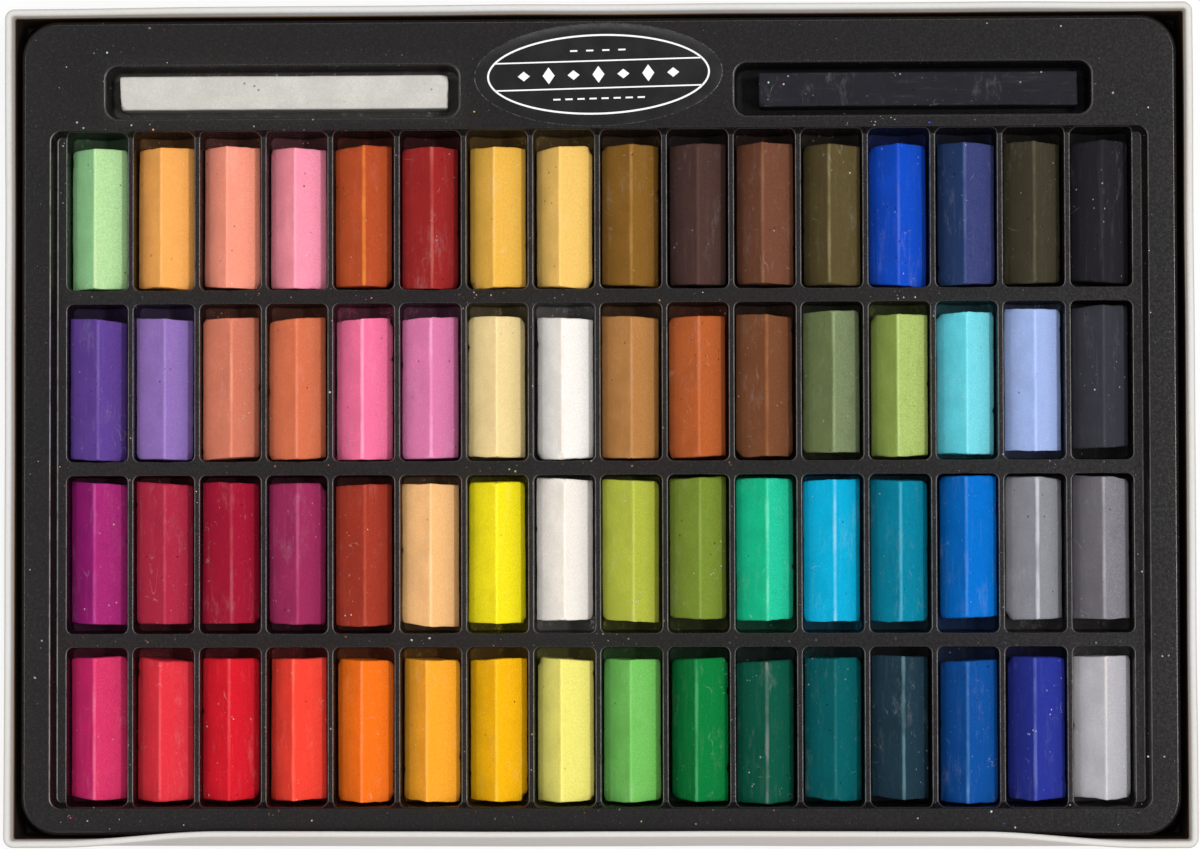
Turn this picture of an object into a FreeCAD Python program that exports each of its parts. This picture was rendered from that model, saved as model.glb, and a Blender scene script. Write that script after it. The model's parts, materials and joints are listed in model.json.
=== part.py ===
# Pastel set in an open paperboard tray. Millimetres, +Z up, origin under the middle of the tray.
# Seen from above, +X is to the right and +Y is the back, where the two long sticks lie.
import FreeCAD, Part

import math
import os

import Sketcher

Vector = FreeCAD.Vector
Rotation = FreeCAD.Rotation
Placement = FreeCAD.Placement

# Driving dimensions: alias, value.
SIZES = [
    # half sticks: square bars that stand on one edge
    ("stick_side", 10.25),
    ("stick_length", 35.2),
    ("stick_edge_radius", 0.4),
    ("stick_end_chamfer", 0.4),
    ("stick_roll", 45.0),
    # long sticks: square bars that lie flat
    ("long_stick_side", 8.4),
    ("white_stick_length", 82.0),
    ("black_stick_length", 79.0),
    ("long_stick_edge_radius", 0.4),
    ("long_stick_end_chamfer", 0.3),
    # black formed sheet, open below
    ("sheet_thickness", 0.6),
    ("insert_height", 17.2),
    ("insert_corner_radius", 9.2),
    ("skirt_spread", 0.5),
    ("rim_edge", 0.9),
    ("rim_side", 7.25),
    ("rim_front", 6.7),
    ("rim_back", 27.5),
    # flat flange round the foot of the skirt
    ("flange_side", 1.0),
    ("flange_end", 0.1),
    ("flange_corner_radius", 2.5),
    # sunk field that holds the wells
    ("field_drop", 3.3),
    ("field_wall_run", 1.35),
    ("field_side_margin", 2.35),
    ("field_end_margin", 0.4),
    ("field_corner_radius", 2.6),
    # wells of the half sticks: upright walls over a V groove
    ("rib_width", 1.5),
    ("bar_width", 3.6),
    ("well_side_clearance", 0.35),
    ("well_end_clearance", 2.05),
    ("well_corner_radius", 1.5),
    ("groove_floor_height", 1.2),
    ("groove_angle", 106.0),
    # wells of the long sticks
    ("long_well_depth", 10.6),
    ("long_well_side_clearance", 2.15),
    ("long_well_end_clearance", 3.0),
    ("long_well_corner_radius", 3.0),
    ("long_well_web", 3.25),
    # oval label between the long wells
    ("label_length", 62.0),
    ("label_width", 25.8),
    ("label_thickness", 0.12),
    ("label_side_margin", 3.5),
    ("label_web", 0.6),
    ("label_turn", 1.4),
    # white paperboard tray with walls folded over and turned in
    ("board_thickness", 0.5),
    ("fold_space", 0.8),
    ("fold_foot_gap", 0.3),
    ("tray_height", 21.5),
    ("tray_corner_radius", 2.4),
    ("tray_clearance", 0.3),
    # small gaps where one piece stands on another
    ("insert_seat_gap", 0.1),
    ("stick_seat_gap", 0.15),
    # how far a cutting or joining form runs past the face that it meets
    ("overrun", 2.0),
]

# Lengths worked out once from the driving dimensions: name, formula.
DERIVED = [
    ("groove_slope", "1 / tan(sizes.groove_angle / 2)"),
    ("groove_sine", "sin(sizes.groove_angle / 2)"),
    ("lean_play", "abs(sizes.stick_roll - 90 + sizes.groove_angle / 2)"),
    ("half_diagonal", "sizes.stick_side / sqrt(2)"),
    ("edge_loss", "sizes.stick_edge_radius * (sqrt(2) - 1)"),
    ("edge_centre", "(sizes.stick_side / 2 - sizes.stick_edge_radius) * sqrt(2)"),
    ("well_width", "2 * (layout.half_diagonal + sizes.well_side_clearance)"),
    ("well_length", "sizes.stick_length + 2 * sizes.well_end_clearance"),
    ("pitch_x", "layout.well_width + sizes.rib_width"),
    ("pitch_y", "layout.well_length + sizes.bar_width"),
    ("wells_length", "COLUMNS * layout.pitch_x - sizes.rib_width"),
    ("wells_width", "ROWS * layout.pitch_y - sizes.bar_width"),
    ("field_length", "layout.wells_length + 2 * (sizes.field_side_margin + sizes.field_wall_run)"),
    ("field_width", "layout.wells_width + 2 * sizes.field_end_margin"),
    ("insert_length", "layout.field_length + 2 * sizes.rim_side"),
    ("insert_width", "layout.field_width + sizes.rim_front + sizes.rim_back"),
    ("field_y", "(sizes.rim_front - sizes.rim_back) / 2"),
    ("field_back", "layout.field_y + layout.field_width / 2"),
    ("insert_foot", "sizes.board_thickness + sizes.insert_seat_gap"),
    ("rim_top", "layout.insert_foot + sizes.insert_height"),
    ("field_top", "layout.rim_top - sizes.field_drop"),
    ("groove_bottom", "layout.insert_foot + sizes.groove_floor_height"),
    ("long_well_length", "sizes.white_stick_length + 2 * sizes.long_well_end_clearance"),
    ("long_well_width", "sizes.long_stick_side + 2 * sizes.long_well_side_clearance"),
    ("long_well_x", "(sizes.label_length + layout.long_well_length) / 2 + sizes.label_side_margin"),
    ("long_well_y", "layout.field_back + sizes.long_well_web + layout.long_well_width / 2"),
    ("long_well_floor", "layout.rim_top - sizes.long_well_depth"),
    ("label_y", "layout.field_back + sizes.label_web + sizes.label_width / 2"),
    ("wall_thickness", "2 * sizes.board_thickness + sizes.fold_space"),
    ("flange_length", "layout.insert_length + 2 * (sizes.skirt_spread + sizes.flange_side)"),
    ("flange_width", "layout.insert_width + 2 * (sizes.skirt_spread + sizes.flange_end)"),
    ("cavity_length", "layout.flange_length + 2 * sizes.tray_clearance"),
    ("cavity_width", "layout.flange_width + 2 * sizes.tray_clearance"),
    ("cavity_radius", "sizes.tray_corner_radius - layout.wall_thickness"),
    ("tray_length", "layout.cavity_length + 2 * layout.wall_thickness"),
    ("tray_width", "layout.cavity_width + 2 * layout.wall_thickness"),
]

COLUMNS = 16
ROWS = 4

# The folded wall's top is rounded on both edges by this share of its thickness.
FOLD_ROUND_SHARE = 0.47

# A bar's end face is one whose normal lies at least this far along the bar.
END_FACE_SHARE = 0.99

# Colour names of the half sticks, from the back row to the front row, left to right.
COLOURS = [
    "light_green light_orange salmon light_pink burnt_sienna red_brown ochre light_ochre "
    "raw_umber dark_umber brown olive_umber ultramarine prussian_blue olive_grey black",
    "deep_violet lavender dusty_rose terracotta pink orchid cream white "
    "tan orange_brown russet sage_green leaf_green turquoise pale_blue charcoal",
    "purple crimson carmine plum brick_red peach yellow white "
    "olive_green moss_green mint_green cyan_blue teal_blue azure mid_grey warm_grey",
    "magenta coral_red scarlet vermilion orange amber golden_yellow lemon "
    "grass_green emerald deep_green deep_teal slate_teal cobalt_blue royal_blue light_grey",
]

# Neighbours of nearly one colour that share a node: row and column of each, then the colour.
PAIRS = [
    ((2, 8), (3, 8), "white"),
    ((1, 16), (2, 16), "black"),
    ((3, 15), (3, 16), "grey"),
    ((1, 7), (1, 8), "ochre"),
    ((3, 9), (3, 10), "olive_green"),
    ((4, 12), (4, 13), "deep_teal"),
    ((2, 1), (2, 2), "violet"),
    ((2, 10), (2, 11), "orange_brown"),
    ((3, 2), (3, 3), "crimson"),
]

# Where each half stick lies along its well, as a share of its room there. Minus is nearer the front.
ALONG_SHARES = [
    "-0.90 -0.80 -0.70 -0.90 -0.70 -0.95 -0.90 -0.95 -0.70 -0.60 -0.60 -0.80 -0.90 -0.75 -0.60 -0.55",
    "-0.90 -0.80 -0.70 -0.80 -0.90 -0.80 -0.60 -0.85 -0.75 -0.70 -0.60 -0.15 -0.60 -0.35  0.10  0.45",
    " 0.20  0.10  0.20  0.10 -0.15 -0.10  0.25  0.55  0.40  0.70  0.55  0.35  0.35  0.80  0.60  0.65",
    "-0.20 -0.50 -0.35 -0.40 -0.55 -0.55 -0.50 -0.50 -0.55 -0.45 -0.80 -0.35 -0.20 -0.75 -0.25 -0.20",
]

# Where each half stick lies across its well, as a share of its room there. Minus is nearer the left.
ACROSS_SHARES = [
    "-0.35  0.05 -0.20 -0.40 -1.00 -1.00  0.00  0.10 -0.65  0.10  0.50  0.55 -0.40  0.65 -0.25  0.35",
    "-1.00 -1.00 -1.00 -1.00 -0.55 -1.00 -1.00  0.25 -0.90 -0.70 -0.65 -0.50  0.45 -0.30 -0.20  0.05",
    "-0.70 -1.00 -1.00 -1.00 -1.00 -1.00 -1.00 -0.30 -0.85 -0.60 -0.75 -0.65 -0.40  1.00 -0.20 -0.10",
    "-0.60 -0.45 -1.00 -0.05  0.20  0.15  0.00  0.20  0.00  0.50 -0.80 -0.15 -0.40  0.95  1.00 -0.15",
]

# How each half stick leans in its groove, as a share of the play there. Minus turns its ridge to the left.
LEAN_SHARES = [
    "-0.30 -0.45 -0.60 -0.20  0.70  1.00 -0.65 -1.00  0.40  0.00 -0.80 -1.00 -0.10 -0.80  0.10  0.05",
    " 1.00  1.00  0.95  0.55  0.00  0.70  0.35 -0.55  0.45  0.45  0.60  0.40 -0.75 -0.05  0.10  0.25",
    "-0.20  1.00  1.00  0.80  0.90  0.55  0.25  0.20  0.85  0.55  0.60  0.60  0.05 -1.00  0.40  0.05",
    "-0.20 -0.50  0.35 -0.75 -0.50 -1.00 -0.30 -0.90 -0.30 -1.00  0.35  0.35  0.60 -0.90 -1.00  0.30",
]

# Where the long sticks lie along their wells, as a share of their room there.
WHITE_ALONG_SHARE = 0.05
BLACK_ALONG_SHARE = 0.35


def make_sheet(doc):
    sheet = doc.addObject("Spreadsheet::Sheet", "sizes")
    for row, (alias, value) in enumerate(SIZES, 1):
        sheet.set(f"A{row}", alias)
        sheet.set(f"B{row}", str(value))
        sheet.setAlias(f"B{row}", alias)
    doc.recompute()
    return sheet


def make_layout(doc):
    """Set of derived lengths, each bound to its formula."""
    layout = doc.addObject("App::VarSet", "layout")
    for name, formula in DERIVED:
        formula = formula.replace("COLUMNS", str(COLUMNS)).replace("ROWS", str(ROWS))
        layout.addProperty("App::PropertyFloat", name, "layout")
        layout.setExpression(name, formula.replace("layout.", ""))
    doc.recompute()
    return layout


def origin_feature(body, role):
    return next(feature for feature in body.Origin.OriginFeatures if feature.Role == role)


def add_sketch(body, name, role, offset):
    """Sketch on an origin plane of its body, moved off it by an expression."""
    sketch = body.newObject("Sketcher::SketchObject", name)
    sketch.AttachmentSupport = [(origin_feature(body, role), "")]
    sketch.MapMode = "FlatFace"
    sketch.setExpression("AttachmentOffset.Base.z", offset)
    return sketch


def bind(sketch, label, kind, where, expression):
    """Dimension of a sketch that follows an expression."""
    value = float(sketch.evalExpression(expression))
    index = sketch.addConstraint(Sketcher.Constraint(kind, *where, value))
    sketch.renameConstraint(index, label)
    sketch.setExpression(f"Constraints.{label}", expression)


def add_outline(sketch, tag, length, width, radius, centre_x="0", centre_y="0"):
    """Rounded rectangle in a sketch, all of its sizes expressions."""
    half_x = float(sketch.evalExpression(f"({length}) / 2 - ({radius})"))
    half_y = float(sketch.evalExpression(f"({width}) / 2 - ({radius})"))
    bend = float(sketch.evalExpression(radius))
    middle = Vector(float(sketch.evalExpression(centre_x)), float(sketch.evalExpression(centre_y)), 0)
    first = sketch.GeometryCount
    corners = [(1, 1), (-1, 1), (-1, -1), (1, -1)]
    for quarter, (side_x, side_y) in enumerate(corners):
        centre = middle + Vector(side_x * half_x, side_y * half_y, 0)
        start = math.radians(90 * quarter)
        circle = Part.Circle(centre, Vector(0, 0, 1), bend)
        sketch.addGeometry(Part.ArcOfCircle(circle, start, start + math.radians(90)), False)
    for quarter in range(4):
        start = sketch.getPoint(first + quarter, 2)
        end = sketch.getPoint(first + (quarter + 1) % 4, 1)
        sketch.addGeometry(Part.LineSegment(start, end), False)
    for quarter in range(4):
        arc = first + quarter
        line = first + 4 + quarter
        following = first + (quarter + 1) % 4
        sketch.addConstraint(Sketcher.Constraint("Tangent", arc, 2, line, 1))
        sketch.addConstraint(Sketcher.Constraint("Tangent", line, 2, following, 1))
        if quarter > 0:
            sketch.addConstraint(Sketcher.Constraint("Equal", first, arc))
    sketch.addConstraint(Sketcher.Constraint("Horizontal", first + 4))
    sketch.addConstraint(Sketcher.Constraint("Vertical", first + 5))
    bind(sketch, f"{tag}_length", "DistanceX", (first + 1, 3, first, 3), f"({length}) - 2 * ({radius})")
    bind(sketch, f"{tag}_width", "DistanceY", (first + 3, 3, first, 3), f"({width}) - 2 * ({radius})")
    bind(sketch, f"{tag}_radius", "Radius", (first,), radius)
    right = f"({centre_x}) + ({length}) / 2 - ({radius})"
    back = f"({centre_y}) + ({width}) / 2 - ({radius})"
    bind(sketch, f"{tag}_right", "DistanceX", (-1, 1, first, 3), right)
    bind(sketch, f"{tag}_back", "DistanceY", (-1, 1, first, 3), back)


def add_rectangle(sketch, tag, length, width, centre_x, centre_y):
    """Plain rectangle in a sketch, all of its sizes expressions."""
    half_x = float(sketch.evalExpression(f"({length}) / 2"))
    half_y = float(sketch.evalExpression(f"({width}) / 2"))
    middle = Vector(float(sketch.evalExpression(centre_x)), float(sketch.evalExpression(centre_y)), 0)
    first = sketch.GeometryCount
    signs = [(1, 1), (-1, 1), (-1, -1), (1, -1)]
    points = [middle + Vector(side_x * half_x, side_y * half_y, 0) for side_x, side_y in signs]
    for side in range(4):
        sketch.addGeometry(Part.LineSegment(points[side], points[(side + 1) % 4]), False)
    for side in range(4):
        following = first + (side + 1) % 4
        sketch.addConstraint(Sketcher.Constraint("Coincident", first + side, 2, following, 1))
        direction = "Vertical" if side % 2 else "Horizontal"
        sketch.addConstraint(Sketcher.Constraint(direction, first + side))
    bind(sketch, f"{tag}_length", "DistanceX", (first, 2, first, 1), length)
    bind(sketch, f"{tag}_width", "DistanceY", (first + 1, 2, first + 1, 1), width)
    bind(sketch, f"{tag}_right", "DistanceX", (-1, 1, first, 1), f"({centre_x}) + ({length}) / 2")
    bind(sketch, f"{tag}_back", "DistanceY", (-1, 1, first, 1), f"({centre_y}) + ({width}) / 2")


def add_feature(body, kind, name, sketch, length, reverse=False, both_ways=False):
    """Pad or Pocket of a sketch to a length that is an expression."""
    feature = body.newObject(f"PartDesign::{kind}", name)
    feature.Profile = sketch
    feature.Reversed = reverse
    if both_ways:
        feature.SideType = "Symmetric"
    feature.Refine = False
    feature.setExpression("Length", length)
    return feature


def add_loft(body, kind, name, lower, others):
    loft = body.newObject(f"PartDesign::{kind}Loft", name)
    loft.Profile = lower
    loft.Sections = others
    loft.Ruled = True
    loft.Refine = False
    return loft


def add_pattern(body, name, feature, sketch, count, pitch):
    """Row of copies of a feature along its sketch's first axis."""
    pattern = body.newObject("PartDesign::LinearPattern", name)
    pattern.Originals = [feature]
    pattern.Direction = (sketch, ["H_Axis"])
    pattern.Mode = "Spacing"
    pattern.Occurrences = count
    pattern.Refine = False
    pattern.setExpression("Offset", pitch)
    body.Tip = pattern


def top_edges(shape):
    """Names of the edges that bound a shape's top face."""
    top = max(shape.Faces, key=lambda face: face.CenterOfMass.z)
    names = []
    for number, edge in enumerate(shape.Edges, 1):
        if any(edge.isSame(other) for other in top.Edges):
            names.append(f"Edge{number}")
    return names


def make_tray(doc):
    """Tray of one blank: floor, outer walls, folds and turned-in inner walls."""
    body = doc.addObject("PartDesign::Body", "carton_tray")
    outline = add_sketch(body, "tray_outline", "XY_Plane", "0")
    add_outline(outline, "tray", "layout.tray_length", "layout.tray_width", "sizes.tray_corner_radius")
    add_feature(body, "Pad", "tray_block", outline, "sizes.tray_height")

    mouth = add_sketch(body, "tray_mouth", "XY_Plane", "sizes.tray_height")
    add_outline(mouth, "mouth", "layout.cavity_length", "layout.cavity_width", "layout.cavity_radius")
    cavity = add_feature(body, "Pocket", "tray_cavity", mouth, "sizes.tray_height - sizes.board_thickness")
    doc.recompute()

    fold = body.newObject("PartDesign::Fillet", "tray_fold")
    fold.Base = (cavity, top_edges(cavity.Shape))
    fold.setExpression("Radius", f"layout.wall_thickness * {FOLD_ROUND_SHARE}")
    fold.Refine = False

    space = add_sketch(body, "fold_section", "XY_Plane", "sizes.board_thickness")
    board = "2 * sizes.board_thickness"
    add_outline(
        space,
        "outer",
        f"layout.tray_length - {board}",
        f"layout.tray_width - {board}",
        "sizes.tray_corner_radius - sizes.board_thickness",
    )
    add_outline(
        space,
        "inner",
        f"layout.cavity_length + {board}",
        f"layout.cavity_width + {board}",
        "layout.cavity_radius + sizes.board_thickness",
    )
    add_feature(body, "Pocket", "fold_hollow", space, f"sizes.tray_height - {board}", reverse=True)

    foot = add_sketch(body, "foot_section", "XY_Plane", "sizes.board_thickness")
    add_outline(
        foot,
        "outer",
        "layout.cavity_length + sizes.board_thickness * 2 + sizes.fold_space",
        "layout.cavity_width + sizes.board_thickness * 2 + sizes.fold_space",
        "layout.cavity_radius + sizes.board_thickness + sizes.fold_space / 2",
    )
    add_outline(foot, "inner", "layout.cavity_length", "layout.cavity_width", "layout.cavity_radius")
    add_feature(body, "Pocket", "foot_gap", foot, "sizes.fold_foot_gap", reverse=True)
    return body


def make_form(doc, name, inset, rounded):
    """One side of the black sheet as a solid form. The underside is smaller by the sheet's thickness."""
    body = doc.addObject("PartDesign::Body", name)
    top = f"layout.rim_top - {inset}"

    foot = add_sketch(body, f"{name}_foot", "XY_Plane", "layout.insert_foot")
    spread = f"2 * (sizes.skirt_spread - {inset})"
    add_outline(
        foot,
        "foot",
        f"layout.insert_length + {spread}",
        f"layout.insert_width + {spread}",
        f"sizes.insert_corner_radius + sizes.skirt_spread - {inset}",
    )
    shoulder = add_sketch(body, f"{name}_shoulder", "XY_Plane", "layout.rim_top - sizes.rim_edge")
    add_outline(
        shoulder,
        "shoulder",
        f"layout.insert_length - 2 * {inset}",
        f"layout.insert_width - 2 * {inset}",
        f"sizes.insert_corner_radius - {inset}",
    )
    rim = add_sketch(body, f"{name}_rim", "XY_Plane", top)
    edge = f"max(0, sizes.rim_edge - {inset} / 2)"
    add_outline(
        rim,
        "rim",
        f"layout.insert_length - 2 * {inset} - 2 * {edge}",
        f"layout.insert_width - 2 * {inset} - 2 * {edge}",
        f"sizes.insert_corner_radius - {inset} - {edge}",
    )
    add_loft(body, "Additive", f"{name}_block", foot, [shoulder, rim])

    floor = add_sketch(body, f"{name}_field_floor", "XY_Plane", f"layout.field_top - {inset}")
    run = f"2 * (sizes.field_wall_run - {inset})"
    add_outline(
        floor,
        "floor",
        f"layout.field_length - {run}",
        f"layout.field_width - {run}",
        f"sizes.field_corner_radius - sizes.field_wall_run + {inset}",
        centre_y="layout.field_y",
    )
    mouth = add_sketch(body, f"{name}_field_mouth", "XY_Plane", top)
    add_outline(
        mouth,
        "mouth",
        f"layout.field_length + 2 * {inset}",
        f"layout.field_width + 2 * {inset}",
        f"sizes.field_corner_radius + {inset}",
        centre_y="layout.field_y",
    )
    add_loft(body, "Subtractive", f"{name}_field", floor, [mouth])

    bottom = f"layout.groove_bottom - {inset} / layout.groove_sine"
    wells = add_sketch(body, f"{name}_column_of_wells", "XY_Plane", top)
    first_x = "(layout.well_width - layout.wells_length) / 2"
    for row in range(ROWS):
        middle_y = f"layout.field_y + ({row} - {(ROWS - 1) / 2}) * layout.pitch_y"
        length = f"layout.well_width + 2 * {inset}"
        width = f"layout.well_length + 2 * {inset}"
        if rounded:
            radius = "sizes.well_corner_radius"
            add_outline(wells, f"well{row}", length, width, radius, first_x, middle_y)
        else:
            add_rectangle(wells, f"well{row}", length, width, first_x, middle_y)
    column = add_feature(body, "Pocket", f"{name}_column", wells, f"{top} - ({bottom})")
    add_pattern(body, f"{name}_wells", column, wells, COLUMNS, "layout.pitch_x")

    ridge = add_sketch(body, f"{name}_ridge_section", "XZ_Plane", "-layout.field_y")
    add_ridge(ridge, f"{first_x} - layout.pitch_x", bottom)
    pad = add_feature(
        body,
        "Pad",
        f"{name}_ridge",
        ridge,
        "layout.wells_width + 2 * sizes.overrun",
        both_ways=True,
    )
    add_pattern(body, f"{name}_ridges", pad, ridge, COLUMNS + 1, "layout.pitch_x")

    long_wells = add_sketch(body, f"{name}_long_wells", "XY_Plane", top)
    for side, sign in (("left", "-"), ("right", "")):
        add_outline(
            long_wells,
            side,
            f"layout.long_well_length + 2 * {inset}",
            f"layout.long_well_width + 2 * {inset}",
            f"sizes.long_well_corner_radius + {inset}",
            centre_x=f"{sign}layout.long_well_x",
            centre_y="layout.long_well_y",
        )
    add_feature(body, "Pocket", f"{name}_long_pockets", long_wells, "sizes.long_well_depth")
    return body


def add_ridge(sketch, left, bottom):
    """Triangle between two groove floors: the slopes of a groove's right side and the next one's left."""
    start = float(sketch.evalExpression(left))
    base = float(sketch.evalExpression(bottom))
    pitch = float(sketch.evalExpression("layout.pitch_x"))
    slope = float(sketch.evalExpression("layout.groove_slope"))
    points = [
        Vector(start, base, 0),
        Vector(start + pitch, base, 0),
        Vector(start + pitch / 2, base + slope * pitch / 2, 0),
    ]
    for number in range(3):
        line = Part.LineSegment(points[number], points[(number + 1) % 3])
        sketch.addGeometry(line, False)
    for number in range(3):
        sketch.addConstraint(Sketcher.Constraint("Coincident", number, 2, (number + 1) % 3, 1))
    sketch.addConstraint(Sketcher.Constraint("Horizontal", 0))
    bind(sketch, "left", "DistanceX", (-1, 1, 0, 1), left)
    bind(sketch, "bottom", "DistanceY", (-1, 1, 0, 1), bottom)
    bind(sketch, "pitch", "DistanceX", (0, 1, 0, 2), "layout.pitch_x")
    bind(sketch, "half_pitch", "DistanceX", (0, 1, 1, 2), "layout.pitch_x / 2")
    bind(sketch, "rise", "DistanceY", (0, 1, 1, 2), "layout.groove_slope * layout.pitch_x / 2")


def add_flange(body):
    """Flat strip of the sheet round the foot of the skirt."""
    outline = add_sketch(body, "flange_outline", "XY_Plane", "layout.insert_foot")
    radius = "sizes.flange_corner_radius"
    add_outline(outline, "flange", "layout.flange_length", "layout.flange_width", radius)
    add_feature(body, "Pad", "flange_strip", outline, "sizes.sheet_thickness")


def make_insert(doc):
    outer = make_form(doc, "sheet_top", "0", rounded=True)
    add_flange(outer)
    inner = make_form(doc, "sheet_underside", "sizes.sheet_thickness", rounded=False)
    insert = doc.addObject("Part::Cut", "insert_tray")
    insert.Base = outer
    insert.Tool = inner
    insert.Refine = False
    return insert


def make_label(doc, sizes, layout):
    """Thin oval stuck on the flat back rim."""
    outline = doc.addObject("Part::Ellipse", "label_outline")
    outline.setExpression("MajorRadius", "sizes.label_length / 2")
    outline.setExpression("MinorRadius", "sizes.label_width / 2")
    label = doc.addObject("Part::Extrusion", "oval_label")
    label.Base = outline
    label.DirMode = "Custom"
    label.Dir = Vector(0, 0, 1)
    label.Solid = True
    label.setExpression("LengthFwd", "sizes.label_thickness")
    turn = Rotation(Vector(0, 0, 1), sizes.label_turn)
    label.Placement = Placement(Vector(0, layout.label_y, layout.rim_top), turn)
    return label


def make_bar(doc, name, side, length, radius):
    """Square bar along Y with rounded long edges, centred on the origin."""
    body = doc.addObject("PartDesign::Body", name)
    section = add_sketch(body, f"{name}_section", "XZ_Plane", "0")
    add_outline(section, "bar", side, side, radius)
    bar = add_feature(body, "Pad", f"{name}_bar", section, length, both_ways=True)
    return body, bar


def break_ends(body, bar, chamfer):
    """Chamfer round both ends of a bar, whose end faces look along Y."""
    along = Vector(0, 1, 0)
    ends = [face for face in bar.Shape.Faces if abs(face.normalAt(0, 0).dot(along)) > END_FACE_SHARE]
    names = []
    for number, edge in enumerate(bar.Shape.Edges, 1):
        if any(edge.isSame(other) for face in ends for other in face.Edges):
            names.append(f"Edge{number}")
    broken = body.newObject("PartDesign::Chamfer", f"{body.Name}_ends")
    broken.Base = (bar, names)
    broken.Refine = False
    broken.setExpression("Size", chamfer)


def share_at(table, row, column):
    return float(table[row - 1].split()[column - 1])


def stick_place(sizes, layout, row, column):
    """Placement of a half stick: its well, its lean, and where it lies along and across the groove."""
    end_room = sizes.well_end_clearance - sizes.stick_seat_gap
    side_room = sizes.well_side_clearance + layout.edge_loss - sizes.stick_seat_gap
    along = share_at(ALONG_SHARES, row, column) * end_room
    across = share_at(ACROSS_SHARES, row, column) * side_room
    lean = share_at(LEAN_SHARES, row, column) * layout.lean_play
    turned = math.radians(lean)
    edge_x = across - layout.edge_centre * math.sin(turned)
    edge_z = layout.groove_bottom + abs(edge_x) * layout.groove_slope
    edge_z += (sizes.stick_edge_radius + sizes.stick_seat_gap) / layout.groove_sine
    x = (column - (COLUMNS + 1) / 2) * layout.pitch_x + across
    y = layout.field_y - (row - (ROWS + 1) / 2) * layout.pitch_y + along
    z = edge_z + layout.edge_centre * math.cos(turned)
    return Placement(Vector(x, y, z), Rotation(Vector(0, 1, 0), sizes.stick_roll + lean))


def make_sticks(doc, sizes, layout):
    """All half sticks and the nodes that hold them: one stick each, or a pair."""
    bars = {}
    for row in range(1, ROWS + 1):
        names = COLOURS[row - 1].split()
        for column in range(1, COLUMNS + 1):
            name = f"stick_r{row}c{column:02d}_{names[column - 1]}"
            bars[row, column] = make_bar(
                doc, name, "sizes.stick_side", "sizes.stick_length", "sizes.stick_edge_radius"
            )
    doc.recompute()
    for place, (body, bar) in bars.items():
        break_ends(body, bar, "sizes.stick_end_chamfer")
        body.Placement = stick_place(sizes, layout, *place)

    nodes = []
    paired = set()
    for first, second, colour in PAIRS:
        name = f"sticks_r{first[0]}c{first[1]:02d}_r{second[0]}c{second[1]:02d}_{colour}"
        pair = doc.addObject("Part::Compound", name)
        pair.Links = [bars[first][0], bars[second][0]]
        nodes.append(pair)
        paired.update((first, second))
    nodes += [body for place, (body, bar) in bars.items() if place not in paired]
    return nodes


def make_long_sticks(doc, sizes, layout):
    """White stick in the left long well and black stick in the right one, both lying flat."""
    nodes = []
    kinds = [("white", -1, WHITE_ALONG_SHARE), ("black", 1, BLACK_ALONG_SHARE)]
    for colour, side, share in kinds:
        alias = f"{colour}_stick_length"
        body, bar = make_bar(
            doc,
            f"long_stick_{colour}",
            "sizes.long_stick_side",
            f"sizes.{alias}",
            "sizes.long_stick_edge_radius",
        )
        doc.recompute()
        break_ends(body, bar, "sizes.long_stick_end_chamfer")
        room = (layout.long_well_length - getattr(sizes, alias)) / 2 - sizes.stick_seat_gap
        x = side * layout.long_well_x + share * room
        z = layout.long_well_floor + sizes.stick_seat_gap + sizes.long_stick_side / 2
        body.Placement = Placement(Vector(x, layout.long_well_y, z), Rotation(Vector(0, 0, 1), 90))
        nodes.append(body)
    return nodes


def check_document(doc):
    for item in doc.Objects:
        if "Invalid" in item.State or "Error" in item.State:
            raise RuntimeError(f"{item.Name} is {item.State}")


def export(nodes):
    os.makedirs("parts", exist_ok=True)
    for node in nodes:
        shape = node.Shape
        if shape.isNull() or not shape.isValid():
            raise RuntimeError(f"{node.Label} has no valid shape")
        shape.exportStep(f"parts/{node.Label}.step")
        print(f"{node.Label}: {len(shape.Solids)} solid, {shape.Volume:.1f} mm3")


def main():
    doc = FreeCAD.newDocument("pastel_set")
    sizes = make_sheet(doc)
    layout = make_layout(doc)
    nodes = [make_tray(doc), make_insert(doc), make_label(doc, sizes, layout)]
    nodes += make_long_sticks(doc, sizes, layout)
    nodes += make_sticks(doc, sizes, layout)
    doc.recompute()
    check_document(doc)
    export(nodes)
    print(f"tray: {layout.tray_length:.2f} x {layout.tray_width:.2f} x {sizes.tray_height:.2f}")


main()
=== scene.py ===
"""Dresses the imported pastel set: paperboard tray, black formed insert, 66 pastel sticks and oval label."""

import json
import math
import re

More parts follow.
